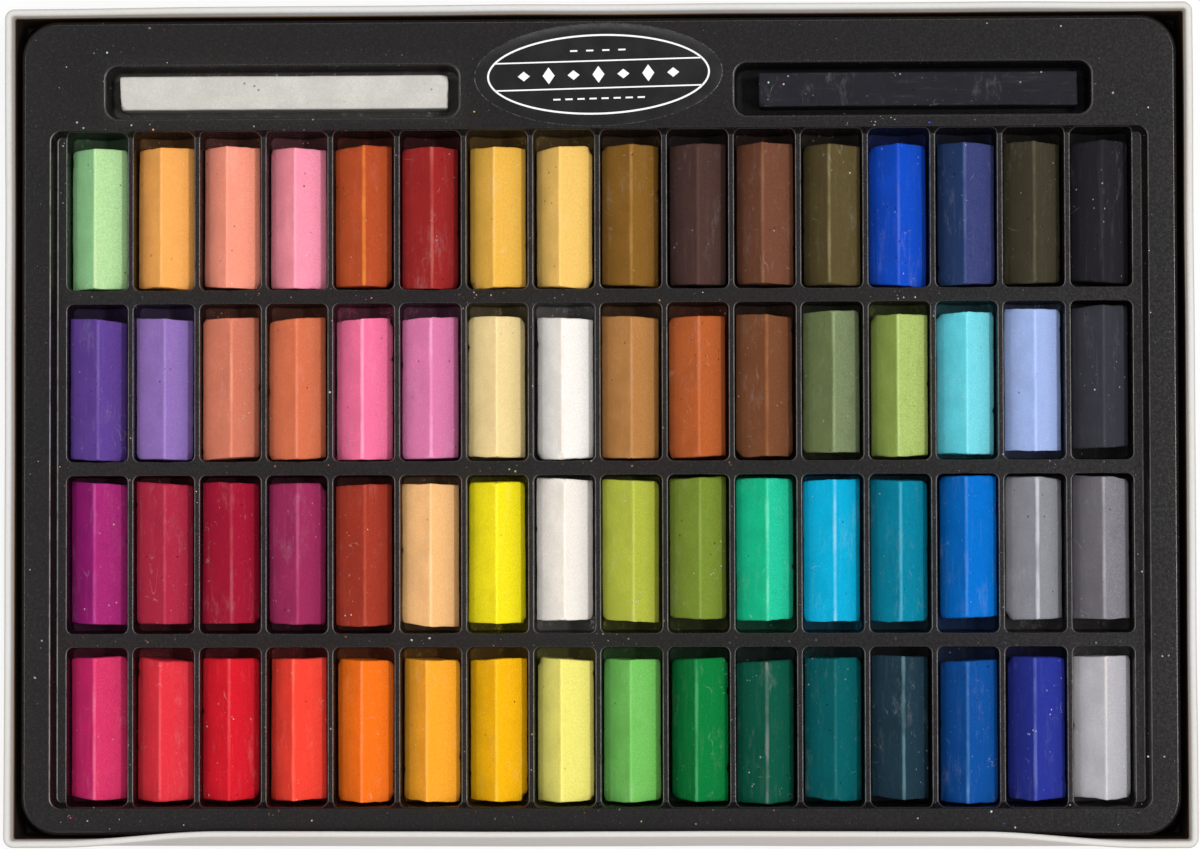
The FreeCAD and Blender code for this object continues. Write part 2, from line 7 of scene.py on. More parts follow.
import bpy
import numpy as np
from mathutils.geometry import delaunay_2d_cdt
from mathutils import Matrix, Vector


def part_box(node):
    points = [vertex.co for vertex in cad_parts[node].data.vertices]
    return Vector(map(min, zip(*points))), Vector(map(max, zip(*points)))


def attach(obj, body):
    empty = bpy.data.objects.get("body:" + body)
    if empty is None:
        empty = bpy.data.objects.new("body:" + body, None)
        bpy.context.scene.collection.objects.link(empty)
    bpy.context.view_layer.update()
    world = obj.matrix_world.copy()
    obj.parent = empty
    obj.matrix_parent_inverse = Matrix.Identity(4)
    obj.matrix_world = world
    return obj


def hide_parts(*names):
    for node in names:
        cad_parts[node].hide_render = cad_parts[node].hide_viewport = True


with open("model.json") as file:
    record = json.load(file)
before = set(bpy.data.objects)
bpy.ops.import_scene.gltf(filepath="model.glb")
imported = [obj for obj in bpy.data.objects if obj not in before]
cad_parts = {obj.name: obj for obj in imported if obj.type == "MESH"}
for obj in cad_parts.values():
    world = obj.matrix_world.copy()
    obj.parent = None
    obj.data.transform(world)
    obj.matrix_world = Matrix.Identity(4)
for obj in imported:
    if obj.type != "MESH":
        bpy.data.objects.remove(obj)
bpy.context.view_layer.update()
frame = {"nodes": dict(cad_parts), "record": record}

# Lengths below are millimetres. A mesh is scaled to metres when it is made.
MM = 0.001

# driving sizes of the sticks and of the formed sheet
COLUMNS = 16
ROWS = 4
CELLS = [(row, column) for row in range(1, ROWS + 1) for column in range(1, COLUMNS + 1)]
STICK_SIDE = 10.25
STICK_LENGTH = 35.2
LONG_STICK_SIDE = 8.4
RIB = 1.5
BAR = 3.6
WELL_SIDE_ROOM = 0.35
WELL_END_ROOM = 2.05
WELL_RADIUS = 1.5
SHEET = 0.6
FIELD_DROP = 3.3
FIELD_RUN = 1.35
FIELD_SIDE_MARGIN = 2.35
FIELD_END_MARGIN = 0.4
FIELD_RADIUS = 2.6
RIM_BACK = 27.5
INSERT_RADIUS = 9.2
SKIRT_SPREAD = 0.5
FLANGE_SIDE = 1.0
FLANGE_END = 0.1
FLANGE_RADIUS = 2.5
GROOVE_FLOOR = 1.2
GROOVE_ANGLE = 106.0
LONG_WELL = (88.0, 12.7)
LONG_WELL_RADIUS = 3.0
LONG_WELL_DEPTH = 10.6
LONG_WELL_PLACES = {-1: (-78.5, 83.6), 1: (78.5, 83.6)}
LABEL = (62.0, 25.8)
LABEL_PLACE = (0.5, 87.4)
LABEL_TURN = 1.4
TRAY_RADIUS = 2.4
TRAY_WALL = 1.8

# worked out from them and from the frame
WELL = (STICK_SIDE * math.sqrt(2) + 2 * WELL_SIDE_ROOM, STICK_LENGTH + 2 * WELL_END_ROOM)
PITCH = (WELL[0] + RIB, WELL[1] + BAR)
GROOVE_SLOPE = 1 / math.tan(math.radians(GROOVE_ANGLE / 2))
WELLS_SPAN = (COLUMNS * PITCH[0] - RIB, ROWS * PITCH[1] - BAR)
FIELD = (
    WELLS_SPAN[0] + 2 * (FIELD_SIDE_MARGIN + FIELD_RUN),
    WELLS_SPAN[1] + 2 * FIELD_END_MARGIN,
)


def frame_box(node):
    """A CAD node's lowest and highest corner in millimetres."""
    low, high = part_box(node)
    return np.array(low) / MM, np.array(high) / MM


FLANGE_LOW, FLANGE_HIGH = frame_box("insert_tray")
TRAY_LOW, TRAY_HIGH = frame_box("carton_tray")
FLANGE = (FLANGE_HIGH - FLANGE_LOW)[:2]
RIM_TOP = FLANGE_HIGH[2]
FOOT = FLANGE_LOW[2]
INSERT = (
    FLANGE[0] - 2 * (SKIRT_SPREAD + FLANGE_SIDE),
    FLANGE[1] - 2 * (SKIRT_SPREAD + FLANGE_END),
)
FIELD_CENTRE = (0.0, INSERT[1] / 2 - RIM_BACK - FIELD[1] / 2)
GROOVE_BOTTOM = FOOT + GROOVE_FLOOR


# general helpers


def smooth(share):
    """Eases from 0 to 1 as the share does, and stays there."""
    share = np.clip(share, 0, 1)
    return share * share * (3 - 2 * share)


def soft_ramp(share, bend):
    """Rises straight from 0 to 1 as the share does, with both bends rounded over the given share."""
    low = np.clip(share + bend, 0, 2 * bend) ** 2 / (4 * bend)
    high = np.clip(1 + bend - share, 0, 2 * bend) ** 2 / (4 * bend)
    return np.where(share < bend, low, np.where(share > 1 - bend, 1 - high, share))


def wander(points, size, seed=0):
    """Smooth noise from -1 to 1 at each point, with features of about the given size."""
    points = np.asarray(points, float)
    if points.shape[1] == 2:
        points = np.column_stack([points, np.zeros(len(points))])
    cell = points / size + 37.3 * (seed + 1)
    low = np.floor(cell).astype(np.int64)
    part = smooth(cell - low)
    total = np.zeros(len(cell))
    for corner in range(8):
        step = np.array([corner & 1, corner >> 1 & 1, corner >> 2 & 1])
        at = low + step
        mixed = at[:, 0] * 73856093 ^ at[:, 1] * 19349663 ^ at[:, 2] * 83492791
        mixed = (mixed ^ mixed >> 13) * 1274126177
        value = (mixed >> 8 & 0xFFFFFF) / 0x7FFFFF - 1
        total += value * np.prod(np.where(step, part, 1 - part), axis=1)
    return total


def linear(red, green, blue):
    """A colour as the eye reads it, from 0 to 255, as a linear colour."""
    shares = np.array([red, green, blue]) / 255
    return tuple(np.where(shares > 0.04045, ((shares + 0.055) / 1.055) ** 2.4, shares / 12.92))


def scaled(shade, *gains):
    """A colour multiplied by one number, or by one number for each of its parts."""
    return tuple(gain * part for part, gain in zip(shade, gains * 3 if len(gains) == 1 else gains))


def toward(shade, level, share):
    """A colour moved towards a grey level by a share."""
    return tuple(part + (level - part) * share for part in shade)


def turned(x, y, angle):
    """Plan numbers turned counterclockwise about 0 by an angle."""
    return x * math.cos(angle) - y * math.sin(angle), x * math.sin(angle) + y * math.cos(angle)


def at_height(plan, height):
    """Plan points with one height for all."""
    return np.column_stack([plan, np.full(len(plan), height)])


def round_distance(xy, centre, size, radius):
    """Signed distance to a rectangle with round corners, below 0 inside, and the outward direction."""
    offset = np.asarray(xy, float) - centre
    sign = np.where(offset < 0, -1.0, 1.0)
    over = np.abs(offset) - (np.asarray(size) / 2 - radius)
    out = np.maximum(over, 0)
    length = np.hypot(out[:, 0], out[:, 1])
    distance = length + np.minimum(over.max(axis=1), 0) - radius
    along_x = over[:, 0] > over[:, 1]
    side = np.column_stack([along_x, ~along_x]).astype(float)
    round_part = (over > 0).all(axis=1)[:, None]
    direction = np.where(round_part, out / np.maximum(length, 1e-9)[:, None], side)
    return distance, direction * sign


def outline(centre, size, radius, arc=6, cuts_x=(), cuts_y=()):
    """Points and outward directions round a rectangle with round corners, counterclockwise from the right."""
    half = np.asarray(size) / 2
    inner = half - radius
    points = []
    normals = []
    for quarter in range(4):
        start = quarter * math.pi / 2
        out = np.round([math.cos(start), math.sin(start)])
        travel = np.array([-out[1], out[0]])
        across = quarter % 2
        for cut in cuts_x if across else cuts_y:
            points.append(centre + out * half[across] + travel * cut * inner[1 - across])
            normals.append(out)
        corner = centre + (out + travel) * inner
        for step in range(arc + 1):
            angle = start + step / arc * math.pi / 2
            normal = np.array([math.cos(angle), math.sin(angle)])
            points.append(corner + normal * radius)
            normals.append(normal)
    return np.array(points), np.array(normals)


def even_cuts(length, step):
    """Shares from -1 to 1, ends left out, that divide a side into runs of about the step."""
    count = max(1, round(length / step))
    return np.linspace(-1, 1, count + 1)[1:-1]


def sleeve(levels, count, flip=False):
    """Quads between neighbouring levels of a closed tube with the given count of points in each level."""
    faces = []
    for level in range(levels - 1):
        for i in range(count):
            j = (i + 1) % count
            a, b = level * count, (level + 1) * count
            faces.append((a + i, b + i, b + j, a + j) if flip else (a + i, a + j, b + j, b + i))
    return faces


def add_object(name, data):
    """A new object in the scene."""
    item = bpy.data.objects.new(name, data)
    bpy.context.scene.collection.objects.link(item)
    return item


def make_piece(name, points, faces, body, materials, node=None):
    """A smooth mesh piece that rides on a body and may stand for a CAD node."""
    mesh = bpy.data.meshes.new(name)
    mesh.from_pydata((np.asarray(points) * MM).tolist(), [], faces)
    mesh.shade_smooth()
    piece = add_object(name, mesh)
    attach(piece, body)
    if node:
        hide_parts(node)
    for material in materials:
        mesh.materials.append(material)
    return piece


def add_values(mesh, name, values):
    """Stores one number for each point of the mesh."""
    attribute = mesh.attributes.new(name, "FLOAT", "POINT")
    attribute.data.foreach_set("value", np.asarray(values, np.float32))


def add_colours(mesh, name, colours):
    """Stores one colour with a share for each point of the mesh."""
    attribute = mesh.attributes.new(name, "FLOAT_COLOR", "POINT")
    attribute.data.foreach_set("color", np.asarray(colours, np.float32).ravel())


# colours of the sticks, from the record, with second shades where two sticks share a node
PAIR_SHADES = {
    (2, 8): (232, 227, 221), (3, 8): (232, 225, 216),
    (1, 16): (37, 35, 40), (2, 16): (56, 56, 64),
    (3, 15): (138, 138, 145), (3, 16): (110, 106, 113),
    (1, 7): (222, 170, 70), (1, 8): (228, 184, 98),
    (3, 9): (175, 182, 65), (3, 10): (118, 138, 48),
    (4, 12): (2, 90, 94), (4, 13): (28, 52, 65),
    (2, 1): (94, 64, 144), (2, 2): (144, 112, 182),
    (2, 10): (180, 92, 45), (2, 11): (118, 72, 45),
    (3, 2): (172, 40, 65), (3, 3): (160, 22, 50),
}


def cells_of(node):
    """The wells, as row and column from 1, that a node's sticks lie in."""
    return [(int(row), int(column)) for row, column in re.findall(r"r(\d)c(\d\d)", node)]


def slot_of(node):
    """The record's material slot of a CAD node."""
    rows = frame["record"]["subparts"]
    return next(row["material_slot"] for row in rows if row["node"] == node)


def slot_colour(slot):
    """The record's colour of a material slot, linear."""
    rows = frame["record"]["materials"]
    return tuple(next(row["base_color"] for row in rows if row["slot"] == slot))


def body_of(node):
    """The body that a CAD node rides on."""
    bodies = frame["record"]["behaviour"]["bodies"]
    return next(body for body, nodes in bodies.items() if node in nodes)


# gains from a colour as seen to a colour as written, and the brightest part that slanting chalk is given
SLANT_GAIN = 1.12
CHALK_LIMIT = 0.93
FLAT_GAIN = 0.76
BOARD_GAIN = 0.7


def lit_shade(shade):
    """A half stick's own colour, from the colour as seen on its slanting faces."""
    return scaled(shade, min(SLANT_GAIN, CHALK_LIMIT / max(shade)))


STICK_NODES = [node for node in frame["nodes"] if cells_of(node)]
SHADES = {
    cell: lit_shade(linear(*PAIR_SHADES[cell]) if cell in PAIR_SHADES else slot_colour(slot_of(node)))
    for node in STICK_NODES
    for cell in cells_of(node)
}
WHITE_SHADE = slot_colour("chalk_white")
BLACK_SHADE = slot_colour("chalk_black")


def cell_centre(row, column):
    """Plan centre of the well in a row and column, both from 1. Row 1 is at the back."""
    return np.array([
        (column - (COLUMNS + 1) / 2) * PITCH[0],
        FIELD_CENTRE[1] + ((ROWS + 1) / 2 - row) * PITCH[1],
    ])


def nearest_cell(xy):
    """Rows and columns of the wells nearest to each plan point."""
    columns = np.clip(np.round(xy[:, 0] / PITCH[0] + (COLUMNS + 1) / 2), 1, COLUMNS)
    rows = np.clip(np.round((FIELD_CENTRE[1] - xy[:, 1]) / PITCH[1] + (ROWS + 1) / 2), 1, ROWS)
    return rows.astype(int), columns.astype(int)


def well_distance(xy):
    """For each plan point, the nearest well's row and column, the distance to its edge and the way out."""
    rows, columns = nearest_cell(xy)
    centres = np.array([cell_centre(r, c) for r, c in zip(rows, columns)])
    distance, out = round_distance(xy - centres, (0, 0), WELL, WELL_RADIUS)
    return rows, columns, distance, out


def long_well_distance(xy, side):
    """Distance to the edge of the long well on a side, and the outward way."""
    return round_distance(xy, LONG_WELL_PLACES[side], LONG_WELL, LONG_WELL_RADIUS)


# node helpers for materials


class Nodes:
    """Builds one material's nodes. Its colour is laid on in layers."""

    def __init__(self, name, colour=None):
        self.material = bpy.data.materials.new(name)
        self.material.use_nodes = True
        self.tree = self.material.node_tree
        self.shader = self.tree.nodes["Principled BSDF"]
        self.place = self.add("ShaderNodeTexCoord").outputs["Object"]
        self.colour = colour

    def add(self, kind, **settings):
        node = self.tree.nodes.new(kind)
        for key, value in settings.items():
            setattr(node, key, value)
        return node

    def link(self, source, socket):
        self.tree.links.new(source, socket)

    def feed(self, socket, value):
        """Links an output to a socket, or sets a constant there."""
        if isinstance(value, bpy.types.NodeSocket):
            self.link(value, socket)
        elif isinstance(value, (tuple, list)) and len(value) == 3 and socket.type == "RGBA":
            socket.default_value = (*value, 1)
        else:
            socket.default_value = value

    def coordinates(self, scale):
        """Object coordinates scaled by a number or by one number for each axis, per metre."""
        node = self.add("ShaderNodeMapping")
        node.inputs["Scale"].default_value = scale if isinstance(scale, tuple) else (scale,) * 3
        self.link(self.place, node.inputs["Vector"])
        return node.outputs["Vector"]

    def noise(self, scale, detail=3, roughness=0.55, distortion=0.0, seed=0.0):
        """Fractal noise from 0 to 1. The seed moves it."""
        node = self.add("ShaderNodeTexNoise", noise_dimensions="4D")
        self.link(self.coordinates(scale), node.inputs["Vector"])
        node.inputs["Scale"].default_value = 1
        node.inputs["W"].default_value = seed
        node.inputs["Detail"].default_value = detail
        node.inputs["Roughness"].default_value = roughness
        node.inputs["Distortion"].default_value = distortion
        return node.outputs["Fac"]

    def cells(self, scale, seed=0.0):
        """Voronoi cells: the distance to the nearest seed point and the cell's own colour."""
        node = self.add("ShaderNodeTexVoronoi", voronoi_dimensions="4D")
        self.link(self.coordinates(scale), node.inputs["Vector"])
        node.inputs["Scale"].default_value = 1
        node.inputs["W"].default_value = seed
        return node.outputs["Distance"], node.outputs["Color"]

    def stored(self, name):
        """Values stored for each point: the colour, the number and the share."""
        outputs = self.add("ShaderNodeAttribute", attribute_name=name).outputs
        return outputs["Color"], outputs["Fac"], outputs["Alpha"]

    def value(self, name):
        """A number stored for each point."""
        return self.stored(name)[1]

    def ramp(self, value, low, high, to_low=0.0, to_high=1.0):
        """Maps low..high of a value to another range with eased ends, and clamps it."""
        node = self.add("ShaderNodeMapRange", interpolation_type="SMOOTHSTEP")
        for socket, number in zip(range(1, 5), (low, high, to_low, to_high)):
            node.inputs[socket].default_value = number
        self.link(value, node.inputs["Value"])
        return node.outputs["Result"]

    def patches(self, scale, low, high, detail=3, roughness=0.55, seed=0.0, least=0.0, most=1.0):
        """Soft-edged patches: fractal noise ramped from low..high to least..most."""
        return self.ramp(self.noise(scale, detail, roughness, seed=seed), low, high, least, most)

    def math(self, operation, first, second=0.0):
        node = self.add("ShaderNodeMath", operation=operation)
        self.feed(node.inputs[0], first)
        self.feed(node.inputs[1], second)
        return node.outputs[0]

    def times(self, first, second):
        return self.math("MULTIPLY", first, second)

    def plus(self, first, second):
        return self.math("ADD", first, second)

    def mix(self, share, first, second):
        """Mixes two colours by a share."""
        node = self.add("ShaderNodeMix", data_type="RGBA")
        self.feed(node.inputs["Factor"], share)
        self.feed(node.inputs[6], first)
        self.feed(node.inputs[7], second)
        return node.outputs[2]

    def layer(self, share, tone, most=1.0):
        """Covers the colour so far with a tone, by a share of at most the given one."""
        if most < 1:
            share = self.times(share, most)
        self.colour = self.mix(share, self.colour, tone)

    def bump(self, height, depth, strength=1.0, under=None):
        """Bump normals from a height from 0 to 1 that stands for a depth in metres."""
        node = self.add("ShaderNodeBump")
        node.inputs["Strength"].default_value = strength
        node.inputs["Distance"].default_value = depth
        self.link(height, node.inputs["Height"])
        if under:
            self.link(under, node.inputs["Normal"])
        return node.outputs["Normal"]

    def finish(self, roughness, normal=None, specular=0.5):
        self.feed(self.shader.inputs["Base Color"], self.colour)
        self.feed(self.shader.inputs["Roughness"], roughness)
        self.shader.inputs["Specular IOR Level"].default_value = specular
        if normal:
            self.link(normal, self.shader.inputs["Normal"])
        return self.material


# the black formed insert
FILLET = 0.3
FIELD_ROUND = 0.12
LONG_FILLET = 0.7
RIM_ROUND = 1.1
APEX = 0.9
HEIGHT_RIPPLE = 0.05
RIPPLE_SIZE = 19
WALL_LEAN = 0.2
TOE = 0.5
LONG_TOE = 1.2
MESH_STEP = 4
RIM_GRID = 6.0
WELL_ARC = 5
LONG_ARC = 8
FIELD_ARC = 6
RIM_ARC = 14
RIM_CUTS = [even_cuts(length, MESH_STEP) for length in INSERT]
# loops beside the field's edge, outward
FIELD_LEVELS = (0.17, 0.08, 0.0, -0.08, -0.17, -1.18, -1.27, -1.35, -1.43, -1.52)
# rings down the skirt: share of its spread and of its height, then across the flange: share and rise
SKIRT_LEVEL_SHARES = ((0.45, 0.5), (0.9, 0.12))
FLANGE_LEVELS = ((0.0, 0.25), (0.25, 0.05), (1.0, 0.0))


def sheet_height(xy):
    """Height of the sheet's top side where it has no well: rim, field and the slope between."""
    distance, _ = round_distance(xy, FIELD_CENTRE, FIELD, FIELD_RADIUS)
    share = soft_ramp(-distance / FIELD_RUN, FIELD_ROUND)
    return RIM_TOP - FIELD_DROP * share + HEIGHT_RIPPLE * wander(xy, RIPPLE_SIZE)


def groove_height(across):
    """Height of the V groove's floor at a distance across from its middle."""
    return GROOVE_BOTTOM + GROOVE_SLOPE * (np.hypot(across, APEX) - APEX)


def sheet_loops():
    """Plan loops that the sheet's mesh has to follow, by name: wells, long wells, field wall, rim."""
    apex_cut = APEX / (WELL[0] / 2 - WELL_RADIUS)
    cuts_x = (-0.7, -0.4, -apex_cut, -apex_cut / 2, 0, apex_cut / 2, apex_cut, 0.4, 0.7)
    cuts_y = even_cuts(WELL[1], 3)
    loops = {}
    for cell in CELLS:
        edge, out = outline(cell_centre(*cell), WELL, WELL_RADIUS, WELL_ARC, cuts_x, cuts_y)
        loops[cell] = edge + out * FILLET
    cuts = (even_cuts(LONG_WELL[0], MESH_STEP), even_cuts(LONG_WELL[1], 3))
    for side, place in LONG_WELL_PLACES.items():
        edge, out = outline(place, LONG_WELL, LONG_WELL_RADIUS, LONG_ARC, *cuts)
        loops["long", side] = edge + out * LONG_FILLET
    cuts = [even_cuts(length, MESH_STEP) for length in FIELD]
    edge, out = outline(FIELD_CENTRE, FIELD, FIELD_RADIUS, FIELD_ARC, *cuts)
    for level in FIELD_LEVELS:
        loops["field", level] = edge + out * level
    edge, out = outline((0, 0), INSERT, INSERT_RADIUS, RIM_ARC, *RIM_CUTS)
    loops["rim"] = edge - out * RIM_ROUND
    return loops


def chain(pairs):
    """Puts the edges of one closed loop in order and gives its points."""
    following = {}
    for first, second in pairs:
        following.setdefault(first, []).append(second)
        following.setdefault(second, []).append(first)
    start = min(following)
    order = [start]
    before, here = None, start
    while True:
        onward = [point for point in following[here] if point != before]
        before, here = here, onward[0]
        if here == start:
            return order
        order.append(here)


def triangulate(loops):
    """Fills the plan between the loops. Gives the points, the triangles and each loop's points in order."""
    points = []
    edges = []
    owners = []
    for name, loop in loops.items():
        first = len(points)
        points.extend(loop.tolist())
        edges.extend((first + i, first + (i + 1) % len(loop)) for i in range(len(loop)))
        owners.extend([name] * len(loop))
    field_back = FIELD_CENTRE[1] + FIELD[1] / 2
    for x in np.arange(-INSERT[0] / 2 + RIM_GRID, INSERT[0] / 2, RIM_GRID):
        for y in np.arange(field_back + RIM_GRID / 2, INSERT[1] / 2 - RIM_GRID / 2, RIM_GRID):
            points.append([x, y])
    plan, new_edges, triangles, _, sources, _ = delaunay_2d_cdt(points, edges, [], 0, 1e-4)
    rings = {name: [] for name in loops}
    for edge, source in zip(new_edges, sources):
        for old in source:
            if old < len(owners):
                rings[owners[old]].append(tuple(edge))
    return np.array([tuple(p) for p in plan]), triangles, rings


def counterclockwise(order, plan):
    """The ring's points in counterclockwise order."""
    xy = plan[order]
    following = np.roll(xy, -1, axis=0)
    area = (xy[:, 0] * following[:, 1] - following[:, 0] * xy[:, 1]).sum()
    return order if area > 0 else order[::-1]


def keep_solid(plan, triangles):
    """The triangles inside the rim and outside every well."""
    middles = np.array([plan[list(t)].mean(axis=0) for t in triangles])
    rim, _ = round_distance(middles, (0, 0), INSERT, INSERT_RADIUS)
    solid = (rim < -RIM_ROUND) & (well_distance(middles)[2] > FILLET)
    for side in LONG_WELL_PLACES:
        solid &= long_well_distance(middles, side)[0] > LONG_FILLET
    return [tuple(t) for t, kept in zip(triangles, solid) if kept]


class Sheet:
    """Points and faces of the insert as they are added."""

    def __init__(self, points, faces):
        self.points = [np.asarray(points)]
        self.count = len(points)
        self.faces = faces

    def ring(self, points, before, outside=False):
        """Adds a ring, joined to the one before, which lies round it or within it. Gives its numbers."""
        self.points.append(np.asarray(points))
        ring = list(range(self.count, self.count + len(points)))
        self.count += len(points)
        outer, inner = (ring, before) if outside else (before, ring)
        for i in range(len(outer)):
            j = (i + 1) % len(outer)
            self.faces.append((outer[i], outer[j], inner[j], inner[i]))
        return ring


def fillet_steps(radius, count=4):
    """Offsets and drops round a quarter circle, from the flat to the wall."""
    angles = np.linspace(0, math.pi / 2, count + 1)[1:]
    return [(radius * (1 - math.sin(a)), radius * (1 - math.cos(a))) for a in angles]


def sink_well(sheet, ring, xy, top, centre, size, radius, fillet, floor, toe):
    """Rings from the sheet down a well's wall to its floor. Gives the last ring and its plan points."""
    _, out = round_distance(xy, centre, size, radius)
    edge = xy - out * fillet
    for offset, drop in fillet_steps(fillet):
        ring = sheet.ring(np.column_stack([edge + out * offset, top - drop]), ring)
    for lean, reach, rise in ((0.5, 0.0, 2.2), (1.0, 0.0, 1.0), (1.0, 0.3, 0.3), (1.0, 1.0, 0.0)):
        plan = edge - out * (WALL_LEAN * lean + toe * reach)
        ring = sheet.ring(np.column_stack([plan, floor(plan[:, 0] - centre[0]) + toe * rise]), ring)
    return ring, plan


def close_groove(sheet, ring, plan, middle):
    """Closes a well with the two flanks of its V and a narrow strip along the apex."""
    across = plan[:, 0] - middle
    tiny = 0.02
    count = len(ring)
    for side in (-1, 1):
        flank = [i for i in range(count) if side * across[i] > APEX - tiny]
        start = next(i for i in flank if (i - 1) % count not in flank)
        sheet.faces.append(tuple(ring[(start + step) % count] for step in range(len(flank))))
    strip = sorted((i for i in range(count) if abs(across[i]) < APEX + tiny), key=lambda i: across[i])
    middle_y = plan[:, 1].mean()
    back = [ring[i] for i in strip if plan[i, 1] > middle_y]
    front = [ring[i] for i in strip if plan[i, 1] < middle_y]
    for i in range(len(front) - 1):
        sheet.faces.append((front[i], front[i + 1], back[i + 1], back[i]))


def drop_skirt(sheet, ring, plan):
    """Rings over the rim's round edge, down the skirt and out to the flange."""
    _, out = round_distance(plan, (0, 0), INSERT, INSERT_RADIUS)
    edge = plan + out * RIM_ROUND
    top = RIM_TOP + HEIGHT_RIPPLE * wander(plan, RIPPLE_SIZE)
    for offset, drop in fillet_steps(RIM_ROUND, 6):
        ring = sheet.ring(np.column_stack([edge - out * offset, top - drop]), ring, True)
    flange_top = FOOT + SHEET
    foot = edge + out * SKIRT_SPREAD
    flange, _ = outline((0, 0), FLANGE, FLANGE_RADIUS, RIM_ARC, *RIM_CUTS)
    start = np.argmin(np.hypot(*(flange - edge[0]).T))
    flange = np.roll(flange, -start, axis=0)
    for spread, height in SKIRT_LEVEL_SHARES:
        place = edge + out * SKIRT_SPREAD * spread
        ring = sheet.ring(at_height(place, flange_top + height * (RIM_TOP - flange_top)), ring, True)
    for share, rise in FLANGE_LEVELS:
        ring = sheet.ring(at_height(foot + (flange - foot) * share, flange_top + rise), ring, True)


# chalk dust round a well: how far it reaches out, where it thickens inside the edge, and its shares outside
DUST_REACH = 1.6
DUST_EDGE = 0.1
DUST_FADE = 0.6
DUST_SHARE = 0.15
LONG_DUST_SHARE = 0.25

# painted highlight lines along side edges, where lamps would glint on the rounded edges, against 1 at the
# left top of the field's wall
GLINT_RIGHT_SHARE = 0.4
GLINT_FOOT_SHARE = 0.8
GLINT_WELL_SHARE = 0.5
GLINT_LONG_SHARE = 0.35


def dust_share(distance, outside):
    """How much chalk dust lies at a distance from a well's edge."""
    inside = smooth((DUST_EDGE - distance) / DUST_FADE)
    return outside * smooth((DUST_REACH - distance) / DUST_REACH) + (1 - outside) * inside


def pigment(points):
    """For each point of the sheet, the colour of the chalk dust there and its share."""
    xy = points[:, :2]
    rows, columns, distance, _ = well_distance(xy)
    colours = np.array([SHADES[r, c] for r, c in zip(rows, columns)])
    share = dust_share(distance, DUST_SHARE)
    for side, shade in ((-1, WHITE_SHADE), (1, BLACK_SHADE)):
        near, _ = long_well_distance(xy, side)
        by_long = near < distance
        colours[by_long] = shade
        share = np.where(by_long, dust_share(near, LONG_DUST_SHARE), share)
    return np.column_stack([colours, share])


def painted_edge_glint(points):
    """How strong the painted highlight is at each point of the sheet, on the side edges of the wells and of
    the field's wall.
    """
    xy = points[:, :2]

    def line(distance, middle, reach, out):
        return smooth(1 - np.abs(distance - middle) / reach) * np.abs(out[:, 0]) ** 2

    distance, out = round_distance(xy, FIELD_CENTRE, FIELD, FIELD_RADIUS)
    bend = FIELD_ROUND * FIELD_RUN
    foot = GLINT_FOOT_SHARE * line(distance, -FIELD_RUN, bend, out)
    painted_glint = np.maximum(line(distance, 0, bend, out), foot) * np.where(out[:, 0] < 0, 1.0, GLINT_RIGHT_SHARE)
    _, _, well, out = well_distance(xy)
    painted_glint = np.maximum(painted_glint, GLINT_WELL_SHARE * line(well / FILLET, 0.5, 0.5, out))
    for side in LONG_WELL_PLACES:
        well, out = long_well_distance(xy, side)
        painted_glint = np.maximum(painted_glint, GLINT_LONG_SHARE * line(well / LONG_FILLET, 0.5, 0.3, out))
    return painted_glint * (points[:, 2] > sheet_height(xy) - LONG_FILLET)


def drop_unused(points, faces):
    """The points that faces use, and the faces by their new numbers."""
    used = np.zeros(len(points), bool)
    for face in faces:
        used[list(face)] = True
    number = np.cumsum(used) - 1
    return points[used], [tuple(int(number[i]) for i in face) for face in faces]


def make_insert(material):
    """The formed sheet: rim, sunk field, wells, skirt and flange, with the sheet's thickness."""
    plan, triangles, edges = triangulate(sheet_loops())
    sheet = Sheet(np.column_stack([plan, sheet_height(plan)]), keep_solid(plan, triangles))
    top = sheet.points[0][:, 2]

    def ring_of(name):
        return counterclockwise(chain(edges[name]), plan)

    def long_floor(across):
        return np.full(len(across), RIM_TOP - LONG_WELL_DEPTH)

    for cell in CELLS:
        ring = ring_of(cell)
        centre = cell_centre(*cell)
        form = (centre, WELL, WELL_RADIUS, FILLET, groove_height, TOE)
        ring, low = sink_well(sheet, ring, plan[ring], top[ring], *form)
        close_groove(sheet, ring, low, centre[0])
    for side, place in LONG_WELL_PLACES.items():
        ring = ring_of(("long", side))
        form = (place, LONG_WELL, LONG_WELL_RADIUS, LONG_FILLET, long_floor, LONG_TOE)
        ring, _ = sink_well(sheet, ring, plan[ring], top[ring], *form)
        sheet.faces.append(tuple(ring))
    ring = ring_of("rim")
    drop_skirt(sheet, ring, plan[ring])

    points, faces = drop_unused(np.concatenate(sheet.points), sheet.faces)
    piece = make_piece("insert_sheet", points, faces, "insert", [material], "insert_tray")
    add_colours(piece.data, "pigment", pigment(points))
    # painted highlight lines along the side edges, stored for the material
    add_values(piece.data, "painted_glint", painted_edge_glint(points))
    thickness = piece.modifiers.new("thickness", "SOLIDIFY")
    thickness.thickness = SHEET * MM
    thickness.offset = -1
    piece.modifiers.new("flat faces", "WEIGHTED_NORMAL")
    return piece


# tones on the black sheet
CLOUD_TONE = (0.0065, 0.0035, 0.0035)
SPARK_TONE = (0.034, 0.029, 0.029)
LINT_TONE = (0.16, 0.15, 0.14)
SPECK_TONE = (0.4, 0.37, 0.34)
# the tone of the painted highlight lines on the side edges
GLINT_TONE = (0.34, 0.32, 0.31)


